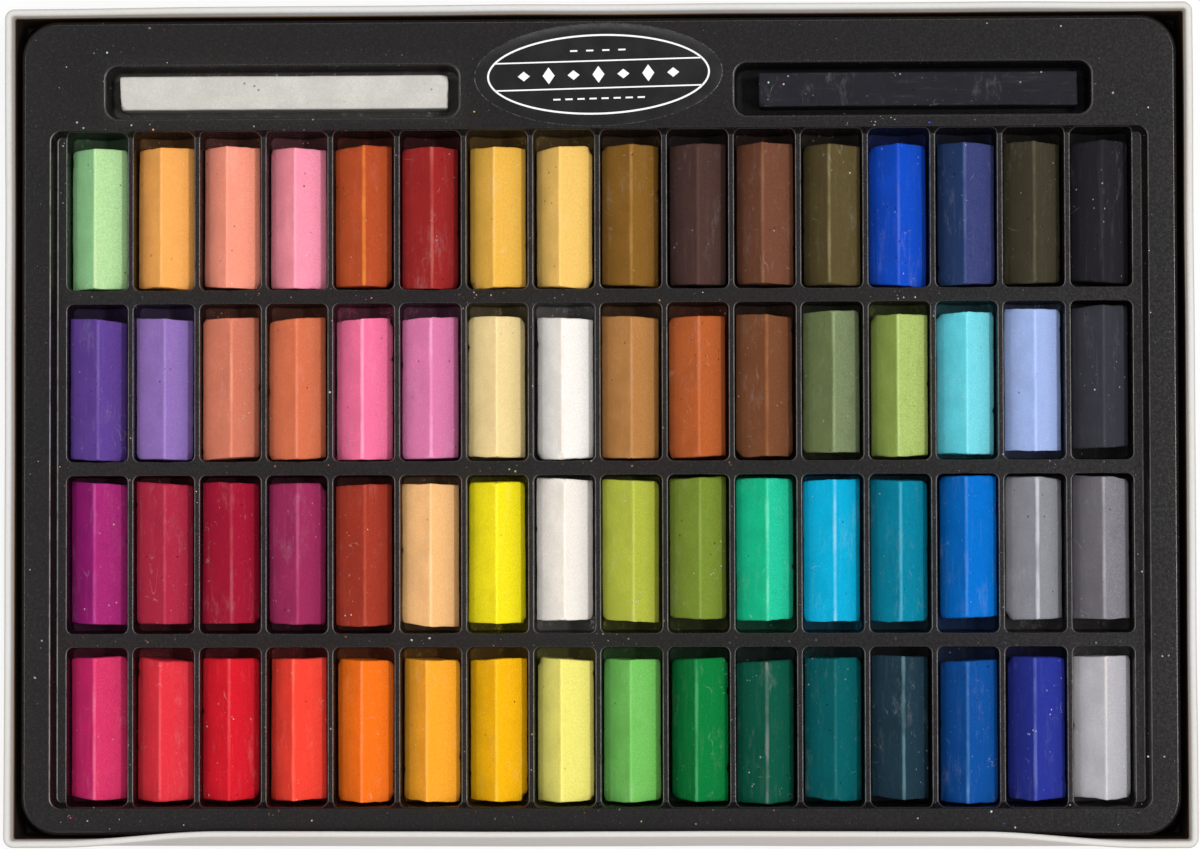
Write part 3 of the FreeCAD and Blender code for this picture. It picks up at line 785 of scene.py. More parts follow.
def lay_dust(nodes):
    """Chalk dust in and round the wells, with specks. Gives how thickly it has settled."""
    tone, _, share = nodes.stored("pigment")
    powder = nodes.times(nodes.patches(220, 0.5, 0.72, 6, 0.8), nodes.patches(1700, 0.42, 0.62, 3, 0.7, 2))
    settled = nodes.math("POWER", share, 1.8)
    nodes.layer(nodes.times(settled, nodes.plus(nodes.times(powder, 0.6), 0.1)), tone)
    distance, random_colour = nodes.cells(700)
    sparse = nodes.patches(140, 0.48, 0.62, 3, 0.7, 3)
    near = nodes.math("MINIMUM", nodes.times(share, 4), 1)
    speck = nodes.times(nodes.times(nodes.ramp(distance, 0.22, 0.12), sparse), near)
    nodes.layer(speck, nodes.mix(random_colour, SPECK_TONE, tone))
    return settled


def sheet_material():
    """Black formed plastic with a fine mottle, lint, chalk dust in the wells and painted highlight lines on
    the side edges.
    """
    base = slot_colour("black_sheet")
    nodes = Nodes("black_sheet", scaled(base, 0.03))
    nodes.layer(nodes.patches(4600, 0.36, 0.74, 3, 0.7), scaled(base, 0.34, 0.25, 0.26))
    nodes.layer(nodes.patches(60, 0.4, 0.7, most=0.5), CLOUD_TONE)
    nodes.layer(nodes.patches(3300, 0.56, 0.72, 2, 0.8, 8, most=0.8), SPARK_TONE)
    lint = nodes.ramp(nodes.cells(850, 5)[0], 0.16, 0.07)
    nodes.layer(nodes.times(lint, nodes.patches(130, 0.5, 0.66, seed=9)), LINT_TONE, 0.8)
    settled = lay_dust(nodes)
    # painted highlight: pale lines, patchy, on the side edges
    painted_glint = nodes.times(nodes.value("painted_glint"), nodes.patches(240, 0.3, 0.6, 4, 0.7, 6, 0.35))
    nodes.layer(painted_glint, GLINT_TONE)
    roughness = nodes.plus(nodes.patches(1300, 0.35, 0.65, 4, 0.7, 0, 0.16, 0.28), nodes.times(settled, 0.6))
    grain = nodes.bump(nodes.noise(2300, 2), 0.00004, 0.5)
    return nodes.finish(roughness, nodes.bump(nodes.noise(60, 2), 0.0002, 0.03, grain), 0.3)


# the pastel sticks
SECTION_ARC = 4
SECTION_CUTS = (-0.88, -0.6, -0.2, 0.2, 0.6, 0.88)
STATION_STEP = 0.8
CAP_SCALES = (0.1, 0.45, 0.8)

# pale, worn or smeared ridges, as row and column: colour and how much of the ridge it covers
RIDGES = {
    (1, 1): ((235, 200, 190), 0.35), (1, 5): ((235, 150, 60), 0.75), (1, 6): ((215, 150, 130), 0.3),
    (1, 9): ((190, 150, 90), 0.4), (1, 11): ((150, 110, 80), 0.4), (1, 12): ((170, 160, 120), 0.45),
    (1, 14): ((120, 140, 190), 0.3), (1, 15): ((110, 105, 85), 0.4), (2, 3): ((245, 180, 150), 0.4),
    (2, 5): ((255, 205, 225), 0.45), (2, 6): ((245, 200, 220), 0.45), (2, 8): ((235, 150, 110), 0.3),
    (2, 11): ((170, 110, 70), 0.5), (2, 12): ((165, 175, 130), 0.4), (2, 13): ((205, 215, 150), 0.4),
    (3, 1): ((205, 110, 180), 0.4), (3, 4): ((200, 110, 140), 0.4), (3, 5): ((195, 110, 90), 0.4),
    (3, 6): ((255, 225, 185), 0.5), (3, 8): ((235, 160, 130), 0.3), (3, 11): ((150, 235, 200), 0.5),
    (3, 12): ((190, 215, 225), 0.55), (3, 13): ((110, 195, 215), 0.45), (3, 15): ((225, 225, 230), 0.7),
    (3, 16): ((190, 188, 195), 0.5), (4, 1): ((245, 150, 180), 0.4), (4, 4): ((255, 150, 120), 0.4),
    (4, 11): ((175, 160, 165), 0.5), (4, 13): ((130, 170, 175), 0.5), (4, 14): ((130, 180, 205), 0.5),
    (4, 15): ((130, 145, 200), 0.45), (4, 16): ((225, 215, 200), 0.5), (4, 10): ((120, 200, 150), 0.35),
}

# sticks whose right face differs: partly its own hue, brushed by a neighbour, and partly painted lighter as
# the side the light falls on
LIT_RIGHT_SHADES = {
    (1, 1): (188, 224, 160), (1, 4): (255, 152, 180), (1, 14): (62, 66, 118), (2, 2): (150, 118, 192),
    (2, 12): (128, 142, 104), (2, 13): (176, 196, 112), (2, 14): (122, 216, 228), (3, 1): (170, 42, 112),
    (3, 11): (40, 204, 162), (3, 16): (142, 138, 146), (4, 1): (218, 56, 100), (4, 13): (32, 58, 72),
}


# how a stick strays from a plain bar. A wave is its depth, its size and its place in the order of seeds.
CORNER_RADII = (0.3, 0.5)
END_ROUNDS = (0.2, 0.55)
FACE_WAVES = ((0.07, 7, 0), (0.035, 1.7, 1))
END_WAVES = ((0.17, 4, 2), (0.12, 1.3, 3))
END_DEPTH = 2.5
SLANTS = (0.035, 0.035, 0.012, 0.012)
BOW = 0.1
TAPER = 0.01
CHIPS = 7
LONG_CHIPS = 9
END_CHIP_SHARE = 0.7
END_CHIP_REACH = 0.5
END_CHIP_SPREAD = 0.55
CHIP_REACHES = (0.4, 0.9)
CHIP_PUSHES = (0.3, 0.7)

# how far from an edge, an end, the ridge and the right face's border the wear goes
WORN_EDGE = 1.1
WORN_END = 0.9
WORN_RIDGE = 1.5
RIGHT_FADE = 0.5


def stick_stations(length, end_round):
    """Places along a stick from end to end, each with its section's inset and scale."""
    angles = np.linspace(0, math.pi / 2, 5)
    half = [(length / 2, end_round, scale) for scale in CAP_SCALES]
    half += [(length / 2 - end_round * (1 - math.cos(a)), end_round * (1 - math.sin(a)), 1.0) for a in angles]
    straight = length - 2 * end_round
    run = even_cuts(straight, STATION_STEP) * straight / 2
    return [(-y, inset, scale) for y, inset, scale in half] + [(y, 0.0, 1.0) for y in run] + half[::-1]


def waves(points, table, seed):
    """The sum of several sizes of smooth noise at each point."""
    return sum(depth * wander(points, size, seed + order) for depth, size, order in table)


def warp_stick(points, lateral, close, length, seed, draw):
    """Uneven faces, slanting ends, and a slight bow and taper."""
    points = points + lateral * waves(points, FACE_WAVES, seed)[:, None]
    flat = np.sign(points[:, 1]) * close
    points[:, 1] += flat * waves(points, END_WAVES, seed)
    across = (points[:, 0] - points[:, 2]) / math.sqrt(2)
    upward = (points[:, 0] + points[:, 2]) / math.sqrt(2)
    slant = draw.normal(0, SLANTS)
    far = across * slant[0] + upward * slant[2]
    near = across * slant[1] + upward * slant[3]
    points[:, 1] += close * np.where(flat > 0, far, near)
    along = points[:, 1:2] / length
    bow = draw.normal(0, BOW, 2)
    points[:, [0, 2]] += (0.25 - along ** 2) * bow
    points[:, [0, 2]] *= 1 + along * draw.normal(0, TAPER)
    return points


def chip_stick(points, side, length, chips, draw):
    """Small chips, most of them on the corners at the ends and the others along the edges."""
    for number in range(chips):
        corner = np.array([draw.choice([-1, 1]), 0, draw.choice([-1, 1])]) * side / 2
        at_end = number < chips * END_CHIP_SHARE
        if at_end:
            corner[1] = draw.choice([-1, 1]) * length / 2
            reach = END_CHIP_REACH + abs(draw.normal(0, END_CHIP_SPREAD))
        else:
            corner[1] = draw.uniform(-0.45, 0.45) * length
            reach = draw.uniform(*CHIP_REACHES)
        away = np.linalg.norm(points - corner, axis=1)
        push = np.maximum(0, reach - away)[:, None] * draw.uniform(*CHIP_PUSHES)
        points = points - np.sign(corner) * (1, at_end, 1) * push / math.sqrt(3)
    return points


def stick_shape(side, length, seed, chips=CHIPS):
    """A worn square stick along y, centred on 0. Gives points, faces, and three masks for each point.

    The masks are edge wear, the ridge on top, and the face that lies to the right once the stick is rolled.
    """
    draw = np.random.default_rng(seed)
    radius = draw.uniform(*CORNER_RADII)
    section, out = outline((0, 0), (side, side), radius, SECTION_ARC, SECTION_CUTS, SECTION_CUTS)
    stations = stick_stations(length, draw.uniform(*END_ROUNDS))
    count = len(section)
    rows = []
    for y, inset, scale in stations:
        plane = (section - out * inset) * scale
        rows.append(np.column_stack([plane[:, 0], np.full(count, y), plane[:, 1]]))
    points = np.concatenate(rows)
    lateral = np.tile(np.column_stack([out[:, 0], np.zeros(count), out[:, 1]]), (len(stations), 1))
    at_cap = np.repeat([scale < 1 for _, _, scale in stations], count)
    lateral[at_cap] = 0
    from_end = length / 2 - np.abs(points[:, 1])
    points = warp_stick(points, lateral, smooth(1 - from_end / END_DEPTH), length, seed, draw)
    points = chip_stick(points, side, length, chips, draw)
    faces = sleeve(len(stations), count, True)
    faces.append(tuple(range(count)))
    faces.append(tuple(range(len(points) - 1, len(points) - 1 - count, -1)))

    to_edge = np.hypot(*(side / 2 - np.abs(section)).T)
    edge = np.tile(smooth(1 - to_edge / WORN_EDGE), len(stations))
    edge = np.maximum(edge, smooth(1 - from_end / WORN_END) * ~at_cap)
    on_top = smooth(1 - to_edge / WORN_RIDGE) * (section > 0).all(axis=1)
    ridge = np.tile(on_top, len(stations))
    right = np.tile(smooth(1 - (side / 2 - section[:, 0]) / RIGHT_FADE), len(stations))
    return points, faces, {"edge": edge, "ridge": ridge, "right": right}


def read_sticks(node):
    """Place, length and roll of each stick of a CAD node, by its row and column."""
    mesh = frame["nodes"][node].data
    corners = np.array([v.co for v in mesh.vertices]) / MM
    middles = np.array([p.center for p in mesh.polygons]) / MM
    areas = np.array([p.area for p in mesh.polygons])
    normals = np.array([p.normal for p in mesh.polygons])
    found = {}
    for cell in cells_of(node):
        mine = (np.column_stack(nearest_cell(corners)) == cell).all(axis=1)
        low, high = corners[mine].min(axis=0), corners[mine].max(axis=0)
        faces = (np.column_stack(nearest_cell(middles)) == cell).all(axis=1)
        faces &= (normals[:, 0] > 0.2) & (normals[:, 2] > 0.2)
        normal = normals[np.argmax(areas * faces)]
        found[cell] = ((low + high) / 2, (high - low)[1], math.atan2(normal[0], normal[2]))
    return found


def rolled(points, roll):
    """Points turned about the y axis so that the face that points up turns towards +x by the roll."""
    x, y, z = points.T
    x, z = turned(x, z, -roll)
    return np.column_stack([x, y, z])


def make_stick_node(node):
    """The one or two half sticks of a CAD node, as one piece that stands for it."""
    points = []
    faces = []
    masks = []
    owners = []
    cells = read_sticks(node)
    total = 0
    for number, (cell, (centre, length, roll)) in enumerate(cells.items()):
        seed = cell[0] * 100 + cell[1]
        shape, shape_faces, shape_masks = stick_shape(STICK_SIDE, length, seed)
        points.append(rolled(shape, roll - math.pi / 2) + centre)
        faces += [tuple(total + i for i in face) for face in shape_faces]
        owners += [number] * len(shape_faces)
        masks.append(shape_masks)
        total += len(shape)
    body = body_of(node)
    chalks = [chalk_material(cell) for cell in cells]
    piece = make_piece(f"chalk_{body}", np.concatenate(points), faces, body, chalks, node)
    for mask in masks[0]:
        add_values(piece.data, mask, np.concatenate([shape_masks[mask] for shape_masks in masks]))
    piece.data.polygons.foreach_set("material_index", owners)
    return piece


# painted shade: the share of its colour that a mid or dark stick gets on the faces away from the one lying to
# the right, and where pale ones begin
SHADED_FACE_SHARE = 0.86
PALE_START = 0.45
PALE_RISE = 0.4

# grey levels that chalk wears towards, the shares of them, and other tones of a stick
PALE_LEVEL = 0.8
WORN_LEVEL = 0.82
RIDGE_LEVEL = 0.85
STREAK_SHARE = 0.1
WORN_SHARE = 0.3
PLAIN_RIDGE_SHARE = 0.1
DEEP_GAIN = 0.84
GRAIN_GAIN = 0.7
FLECK_GAIN = 0.3
SPOT_TONE = (0.75, 0.72, 0.7)


def lay_chalk(nodes, shade, lit_right_shade, streaks, seed):
    """Pressed chalk: blotches, a painted lighter colour on the right face where the light falls, streaks
    along the stick and powdery grain.
    """
    nodes.layer(nodes.patches(140, 0.32, 0.68, 4, 0.6, seed), shade)
    # painted light: patches of the right face take its lighter lit colour
    lit_face_share = nodes.patches(260, 0.25, 0.5, 5, 0.7, seed + 6, 0.5, 0.95)
    nodes.layer(nodes.times(nodes.value("right"), lit_face_share), lit_right_shade)
    streak = nodes.patches(streaks, 0.52, 0.76, 4, 0.65, seed + 1)
    nodes.layer(streak, toward(shade, PALE_LEVEL, STREAK_SHARE), 0.35)
    grain = nodes.noise(2200, 4, 0.7, seed=seed)
    nodes.layer(nodes.ramp(grain, 0.62, 0.4, 0, 0.42), scaled(shade, GRAIN_GAIN))
    return grain


def lay_wear(nodes, worn, ridge_shade, ridge_share, seed):
    """Dust on the faces, worn edges, and a ridge that is rubbed in places."""
    nodes.layer(nodes.patches(420, 0.62, 0.78, 5, 0.8, seed + 2, most=0.4), worn)
    edge = nodes.ramp(nodes.plus(nodes.value("edge"), nodes.noise(450, 5, 0.8, seed=seed + 3)), 1.55, 1.75)
    nodes.layer(edge, worn, 0.5)
    rough = nodes.plus(nodes.value("ridge"), nodes.noise((420, 110, 420), 5, 0.8, seed=seed + 4))
    threshold = 1.2 - 0.15 * ridge_share
    ridge = nodes.ramp(rough, threshold - 0.2, threshold + 0.2)
    broken = nodes.patches((90, 70, 90), 0.4, 0.6, 3, 0.6, seed + 12, 0.3)
    nodes.layer(nodes.times(ridge, broken), ridge_shade, 0.06 + 0.5 * ridge_share)


def lay_marks(nodes, shade, worn, seed):
    """Dark flecks, pale spots, fine scratches and smears."""
    fleck = nodes.ramp(nodes.cells(520, seed)[0], 0.2, 0.1)
    nodes.layer(nodes.times(fleck, nodes.patches(110, 0.5, 0.6, seed=seed)), scaled(shade, FLECK_GAIN))
    spot, spot_colour = nodes.cells(640, seed + 9)
    patch = nodes.patches(75, 0.5, 0.66, 2, seed=seed + 7, least=0.1)
    spot = nodes.times(nodes.ramp(spot, 0.19, 0.11), patch)
    nodes.layer(spot, nodes.mix(0.45, SPOT_TONE, spot_colour), 0.7)
    wave = nodes.math("ABSOLUTE", nodes.math("SUBTRACT", nodes.noise(95, 2, 0.4, 1.5, seed + 8), 0.5))
    scratch = nodes.times(nodes.ramp(wave, 0.009, 0.003), nodes.patches(160, 0.58, 0.68, 2, seed=seed))
    nodes.layer(scratch, worn, 0.35)
    nodes.layer(nodes.patches((150, 60, 150), 0.54, 0.74, 6, 0.8, seed + 11, most=0.3), worn)


def chalk_nodes(name, full_shade, lit_right_shade, ridge_shade, ridge_share, streaks, seed):
    """The material of one stick, from its shades and the scales of its streaks."""
    # painted shade: faces away from the right one are darker for mid and dark sticks
    shaded_share = SHADED_FACE_SHARE + (1 - SHADED_FACE_SHARE) * float(smooth((max(full_shade) - PALE_START) / PALE_RISE))
    shade = scaled(full_shade, shaded_share)
    worn = toward(shade, WORN_LEVEL, WORN_SHARE)
    nodes = Nodes(name, scaled(shade, DEEP_GAIN))
    grain = lay_chalk(nodes, shade, lit_right_shade, streaks, seed)
    lay_wear(nodes, worn, ridge_shade, ridge_share, seed)
    lay_marks(nodes, shade, worn, seed)
    fine = nodes.bump(grain, 0.00009, 0.6)
    normal = nodes.bump(nodes.noise(streaks, 4, 0.7, seed=seed + 5), 0.00012, 0.35, fine)
    return nodes.finish(0.85, normal, 0.08)


def chalk_material(cell):
    """The chalk of the half stick in a row and column. Its ridge is a faint paler one if none is named."""
    shade = SHADES[cell]
    if cell in RIDGES:
        ridge_shade = linear(*RIDGES[cell][0])
        ridge_share = RIDGES[cell][1]
    else:
        ridge_shade = toward(shade, RIDGE_LEVEL, 0.06 + 0.34 * float(smooth(max(shade) * 2)))
        ridge_share = PLAIN_RIDGE_SHARE
    # the right face gets the full colour or a listed one, painted lighter than the faces in shade
    lit_right_shade = linear(*LIT_RIGHT_SHADES[cell]) if cell in LIT_RIGHT_SHADES else shade
    name = "chalk_r%dc%02d" % cell
    seed = cell[0] * 7.0 + cell[1]
    return chalk_nodes(name, shade, lit_right_shade, ridge_shade, ridge_share, (700, 70, 700), seed)


def make_long_stick(node, seed):
    """A long square stick lying flat along x."""
    low, high = frame_box(node)
    shape, faces, masks = stick_shape(LONG_STICK_SIDE, (high - low)[0], seed, LONG_CHIPS)
    laid = np.column_stack([shape[:, 1], -shape[:, 0], shape[:, 2]]) + (low + high) / 2
    slot = slot_of(node)
    shade = scaled(slot_colour(slot), FLAT_GAIN)
    pale = toward(shade, PALE_LEVEL, WORN_SHARE)
    chalk = chalk_nodes(f"chalk_{node}", shade, shade, pale, 0.0, (70, 700, 700), seed)
    piece = make_piece(f"chalk_{node}", laid, faces, body_of(node), [chalk], node)
    add_values(piece.data, "edge", masks["edge"])
    return piece


# the paperboard tray
FOLD_RADIUS = 0.88
WALL_FOOT = 0.5
FOOT_ROUND = 0.3
# how many rings of the wall's profile lie on its outer side, which gets a painted shade
OUTER_RINGS = 12
# painted shade on the inner faces: below this height they turn brown and then near black over the fade, where
# the gap beside the insert lies in shade
GAP_SHADE_TOP = 18.6
GAP_SHADE_FADE = 4.2

# how far the walls' tops lean in, how far the front wall bellies out below, and how much all walls waver
FRONT_LEAN = 2.5
FRONT_BELLY = 0.35
BACK_LEAN = 0.35
SIDE_LEAN = 0.15
WAVER = 0.12
WAVER_SIZES = (26, 31)
# where along and up the walls that happens: from where, and over how much it fades in
WALL_DEPTH = 6
WALL_FADE = 3
LEAN_SPANS = (134, 90)
SPAN_FADE = 40
LEAN_START = 13.5
LEAN_RISE = 8.5
BELLY_RISE = 10
TOP_START = 15
TOP_RISE = 4


def lean_of(points):
    """How the board's walls bow, as a shift for each point."""
    x, y, z = points.T
    half_x, half_y = TRAY_HIGH[:2]
    front = smooth((-y - half_y + WALL_DEPTH) / WALL_FADE)
    back = smooth((y - half_y + WALL_DEPTH) / WALL_FADE)
    side = smooth((np.abs(x) - half_x + WALL_DEPTH) / WALL_FADE)
    middle = smooth((LEAN_SPANS[0] - np.abs(x)) / SPAN_FADE)
    top = smooth((z - LEAN_START) / LEAN_RISE)
    belly = FRONT_BELLY * smooth(z / BELLY_RISE) * (1 - top)
    wall = np.maximum(np.maximum(front, back), side)
    shift = np.zeros_like(points)
    shift[:, 1] = middle * (front * (FRONT_LEAN * top - belly) + back * BACK_LEAN * top)
    shift[:, 0] = -np.sign(x) * side * top * SIDE_LEAN * smooth((LEAN_SPANS[1] - np.abs(y)) / SPAN_FADE)
    shift[:, 1] += wall * WAVER * wander(points, WAVER_SIZES[0], 5)
    shift[:, 0] += wall * WAVER * wander(points, WAVER_SIZES[0], 6)
    shift[:, 2] += wall * smooth((z - TOP_START) / TOP_RISE) * WAVER * wander(points, WAVER_SIZES[1], 7)
    return shift


def wall_profile(height):
    """The wall's outline from its outer foot over the fold to its inner foot: offset outward and height."""
    top = height - FOLD_RADIUS
    angles = np.linspace(0, math.pi, 9)
    profile = [(-FOOT_ROUND, 0.0), (0.0, 0.25)]
    profile += [(0.0, z) for z in np.linspace(3, top - 2.5, 6)]
    profile += [(0.0, top - 1.2)]
    profile += [(-FOLD_RADIUS * (1 - math.cos(a)), top + FOLD_RADIUS * math.sin(a)) for a in angles]
    profile += [(-TRAY_WALL, z) for z in np.linspace(top - 0.5, top - 5, 8)]
    profile += [(-TRAY_WALL, z) for z in np.linspace(top - 8, 3, 4)]
    return profile + [(-TRAY_WALL, WALL_FOOT + FOOT_ROUND), (-TRAY_WALL - FOOT_ROUND, WALL_FOOT)]


def make_tray(material):
    """The paperboard tray: walls folded over with a round top, and a flat floor."""
    size = (TRAY_HIGH - TRAY_LOW)[:2]
    edge, out = outline((0, 0), size, TRAY_RADIUS, 8, *[even_cuts(length, 3) for length in size])
    profile = wall_profile(TRAY_HIGH[2])
    points = np.concatenate([at_height(edge + out * offset, z) for offset, z in profile])
    count = len(edge)
    inner = np.repeat([offset <= -TRAY_WALL for offset, _ in profile], count)
    # painted shade low on the inner faces, from this height down
    depth = smooth((GAP_SHADE_TOP - points[:, 2]) / GAP_SHADE_FADE) * inner
    points = points + lean_of(points)
    faces = sleeve(len(profile), count)
    faces.append(tuple(range(count - 1, -1, -1)))
    faces.append(tuple(range(len(points) - count, len(points))))
    piece = make_piece("board_tray", points, faces, "tray", [material], "carton_tray")
    add_values(piece.data, "depth", depth)
    # the outer side, for its painted shade
    add_values(piece.data, "outer", np.repeat([index < OUTER_RINGS for index in range(len(profile))], count))
    piece.modifiers.new("flat faces", "WEIGHTED_NORMAL")
    return piece


# tones of the board
WARM_TINTS = (0.97, 0.92, 0.84)
SCUFF_TONE = (0.42, 0.37, 0.33)
# painted shade on the outer side
OUTER_SHADE_TONE = (0.46, 0.42, 0.395)
# painted shade low on the inner faces: a brown edge, then near black
GAP_SHADE_TONES = ((0.42, 0.22, 0.1), (0.03, 0.02, 0.015))


def board_material():
    """White lined paperboard: faint fibres, yellowing, scuffs, a greyer outer side as painted shade, and
    painted shade low on the inner faces, brown then near black.
    """
    base = scaled(slot_colour("white_board"), BOARD_GAIN)
    nodes = Nodes("white_board", base)
    nodes.layer(nodes.patches(25, 0.4, 0.7, 4, most=0.6), scaled(base, *WARM_TINTS))
    nodes.layer(nodes.patches((900, 900, 250), 0.45, 0.75, 4, 0.7, most=0.35), scaled(base, 0.8))
    nodes.layer(nodes.patches(260, 0.66, 0.74, 5, 0.8, 4, most=0.5), SCUFF_TONE)
    # painted shade: the outer side greyer
    nodes.layer(nodes.ramp(nodes.value("outer"), 0.3, 1.0), OUTER_SHADE_TONE)
    # painted shade low on the inner faces, brown then near black
    depth = nodes.value("depth")
    nodes.layer(nodes.ramp(depth, 0.0, 0.35), GAP_SHADE_TONES[0])
    nodes.layer(nodes.ramp(depth, 0.35, 0.8), GAP_SHADE_TONES[1])
    return nodes.finish(0.6, nodes.bump(nodes.noise(1400, 3), 0.00006, 0.5), 0.35)


# the oval label
LABEL_EDGE_RISE = 0.009
LABEL_FILM = 0.12
INK_RISE = 0.02
OVAL_POINTS = 128
OVAL_SCALES = (0.8, 0.6, 0.4, 0.2, 0.05)
RING_SIZE = (55.0, 19.6)
RING_WIDTH = 0.45
LINE_HEIGHT = 3.4
LINE_WIDTH = 0.35
LOZENGE_STEP = 6.2
LOZENGE_REACH = 1.5
LOZENGE_HEIGHTS = (2.1, 1.2)
DASH_REACH = (0.9, 0.2)
# rows of dashes: height, how many and how far apart
DASH_ROWS = ((6.0, 4, 4.0), (-6.0, 8, 3.0))


def ellipse(size, count):
    """Points round an ellipse, counterclockwise."""
    angles = np.linspace(0, 2 * math.pi, count, endpoint=False)
    return np.column_stack([np.cos(angles) * size[0] / 2, np.sin(angles) * size[1] / 2])


def on_label(plan, rise):
    """Puts points of the label's own plan on the rim, turned as the label is."""
    xy = np.column_stack(turned(*plan.T, math.radians(LABEL_TURN))) + LABEL_PLACE
    return np.column_stack([xy, sheet_height(xy) + rise])


def make_label(material):
    """The label's film: an oval sheet with a thin rounded edge."""
    levels = [(1.0, LABEL_EDGE_RISE), (0.998, LABEL_FILM * 0.7), (0.99, LABEL_FILM)]
    levels += [(scale, LABEL_FILM) for scale in OVAL_SCALES]
    rim = ellipse(LABEL, OVAL_POINTS)
    points = np.concatenate([on_label(rim * scale, rise) for scale, rise in levels])
    faces = sleeve(len(levels), OVAL_POINTS)
    faces.append(tuple(range(len(points) - OVAL_POINTS, len(points))))
    piece = make_piece("label_film", points, faces, "insert", [material], "oval_label")
    add_values(piece.data, "border", np.repeat([scale > 0.995 for scale, _ in levels], OVAL_POINTS) * 0.5)
    return piece


def make_strip(line, width, closed=True):
    """A flat strip of the given width along a plan line. Gives plan points and faces."""
    onward = np.roll(line, -1, axis=0) - line
    back = line - np.roll(line, 1, axis=0)
    if not closed:
        onward[-1] = back[-1]
        back[0] = onward[0]
    tangent = onward + back
    tangent /= np.hypot(*tangent.T)[:, None]
    side = np.column_stack([tangent[:, 1], -tangent[:, 0]]) * width / 2
    points = np.concatenate([line + side, line - side])
    count = len(line)
    last = count if closed else count - 1
    faces = [(i, (i + 1) % count, count + (i + 1) % count, count + i) for i in range(last)]
    return points, faces


def make_label_print(material):
    """White ink on the label: an oval line, two lines across, a row of lozenges and two rows of dashes."""
    plans = []
    faces = []

    def add(points, new_faces):
        first = sum(len(plan) for plan in plans)
        plans.append(points)
        faces.extend(tuple(first + i for i in face) for face in new_faces)

    add(*make_strip(ellipse(RING_SIZE, 160), RING_WIDTH))
    for height in (LINE_HEIGHT, -LINE_HEIGHT):
        reach = RING_SIZE[0] / 2 * math.sqrt(1 - (height / (RING_SIZE[1] / 2)) ** 2)
        line = np.column_stack([np.linspace(-reach, reach, 40), np.full(40, height)])
        add(*make_strip(line, LINE_WIDTH, closed=False))
    for number in range(-3, 4):
        tall = LOZENGE_HEIGHTS[number % 2]
        lozenge = np.array([(LOZENGE_REACH, 0), (0, tall), (-LOZENGE_REACH, 0), (0, -tall)])
        add(lozenge + (number * LOZENGE_STEP, 0), [(0, 1, 2, 3)])
    dash = np.array([(1, 1), (-1, 1), (-1, -1), (1, -1)]) * DASH_REACH
    for height, count, spacing in DASH_ROWS:
        for number in range(count):
            add(dash + ((number - (count - 1) / 2) * spacing, height), [(0, 1, 2, 3)])
    points = on_label(np.concatenate(plans), LABEL_FILM + INK_RISE)
    return make_piece("label_print", points, faces, "insert", [material])


def film_material():
    """Glossy black film with faint dust and a paler, patchy border."""
    nodes = Nodes("label_film", scaled(slot_colour("label_film"), 0.08))
    nodes.layer(nodes.patches(500, 0.6, 0.8, 5, 0.8, most=0.2), (0.05, 0.045, 0.04))
    border = nodes.times(nodes.value("border"), nodes.patches(900, 0.42, 0.6, 3, 0.8))
    nodes.layer(border, (0.3, 0.28, 0.26))
    roughness = nodes.patches(200, 0.3, 0.7, least=0.22, most=0.32)
    return nodes.finish(roughness, nodes.bump(nodes.noise(300, 2), 0.00003, 0.3), 0.32)


def ink_material():
    """White ink with worn spots."""
    nodes = Nodes("label_ink", (0.78, 0.78, 0.77))
    nodes.layer(nodes.patches(900, 0.62, 0.74, 4, 0.7, most=0.5), (0.3, 0.3, 0.3))
    return nodes.finish(0.5)


# heaps of crumbs on the black sheet: plan place, how many, and how far they spread
CRUMB_HEAPS = (
    ((-128.4, 71.8), 26, 2.2), ((-130.4, -96.2), 14, 2.4), ((-122.5, -99.4), 5, 3.0), ((-112, 78.5), 22, 5),
    ((-30.0, 36.0), 16, 4.0), ((29.0, 36.2), 14, 2.5), ((-96.0, -8.5), 14, 5.0), ((-60.0, 32.5), 12, 4.0),
    ((68.0, 75.5), 26, 4.5), ((77.0, 31.5), 14, 4.0), ((-117.0, 92.0), 10, 5.0), ((-45.0, -53.0), 14, 5.0),
    ((20.0, -97.5), 10, 8.0), ((96.0, -97.5), 10, 5.0), ((118.0, -98.0), 8, 4.0), ((136.0, -80.0), 8, 4.0),
)
STRAY_CRUMBS = 900
CRUMB_SIZE = (0.08, 0.4)
CRUMB_SEED = 7
CRUMB_CLEAR = 0.6
LABEL_CLEAR_SHARE = 1.05
CRUMB_STRETCH = (0.6, 1.3)
CRUMB_SHAPE = ((1, 0, 0), (-1, 0, 0), (0, 1, 0), (0, -1, 0), (0, 0, 1), (0, 0, -0.6))
CRUMB_FACES = ((0, 2, 4), (2, 1, 4), (1, 3, 4), (3, 0, 4), (2, 0, 5), (1, 2, 5), (3, 1, 5), (0, 3, 5))
# how small most crumbs are, in a heap and elsewhere, and the whitish ones' share, tone and brightness
HEAP_POWER = 1.4
STRAY_POWER = 6
WHITISH_SHARE = 0.7
WHITISH_TONE = (0.75, 0.72, 0.69)
WHITISH_LEVELS = (0.4, 1.1)


def on_sheet(xy, clear):
    """Which plan points lie on the sheet's top side, clear of the label, every well and the outer edge."""
    rim, _ = round_distance(xy, (0, 0), INSERT, INSERT_RADIUS)
    free = (rim < -RIM_ROUND - clear) & (well_distance(xy)[2] > clear)
    for side in LONG_WELL_PLACES:
        free &= long_well_distance(xy, side)[0] > clear
    label = (np.abs((xy - LABEL_PLACE) / (np.array(LABEL) / 2)) ** 2).sum(axis=1)
    return free & (label > LABEL_CLEAR_SHARE)


def crumb_material():
    """Broken chalk in each crumb's own colour."""
    nodes = Nodes("chalk_crumbs")
    nodes.colour = nodes.stored("pigment")[0]
    nodes.layer(nodes.patches(4000, 0.3, 0.7, most=0.3), (0.2, 0.18, 0.17))
    return nodes.finish(0.9)


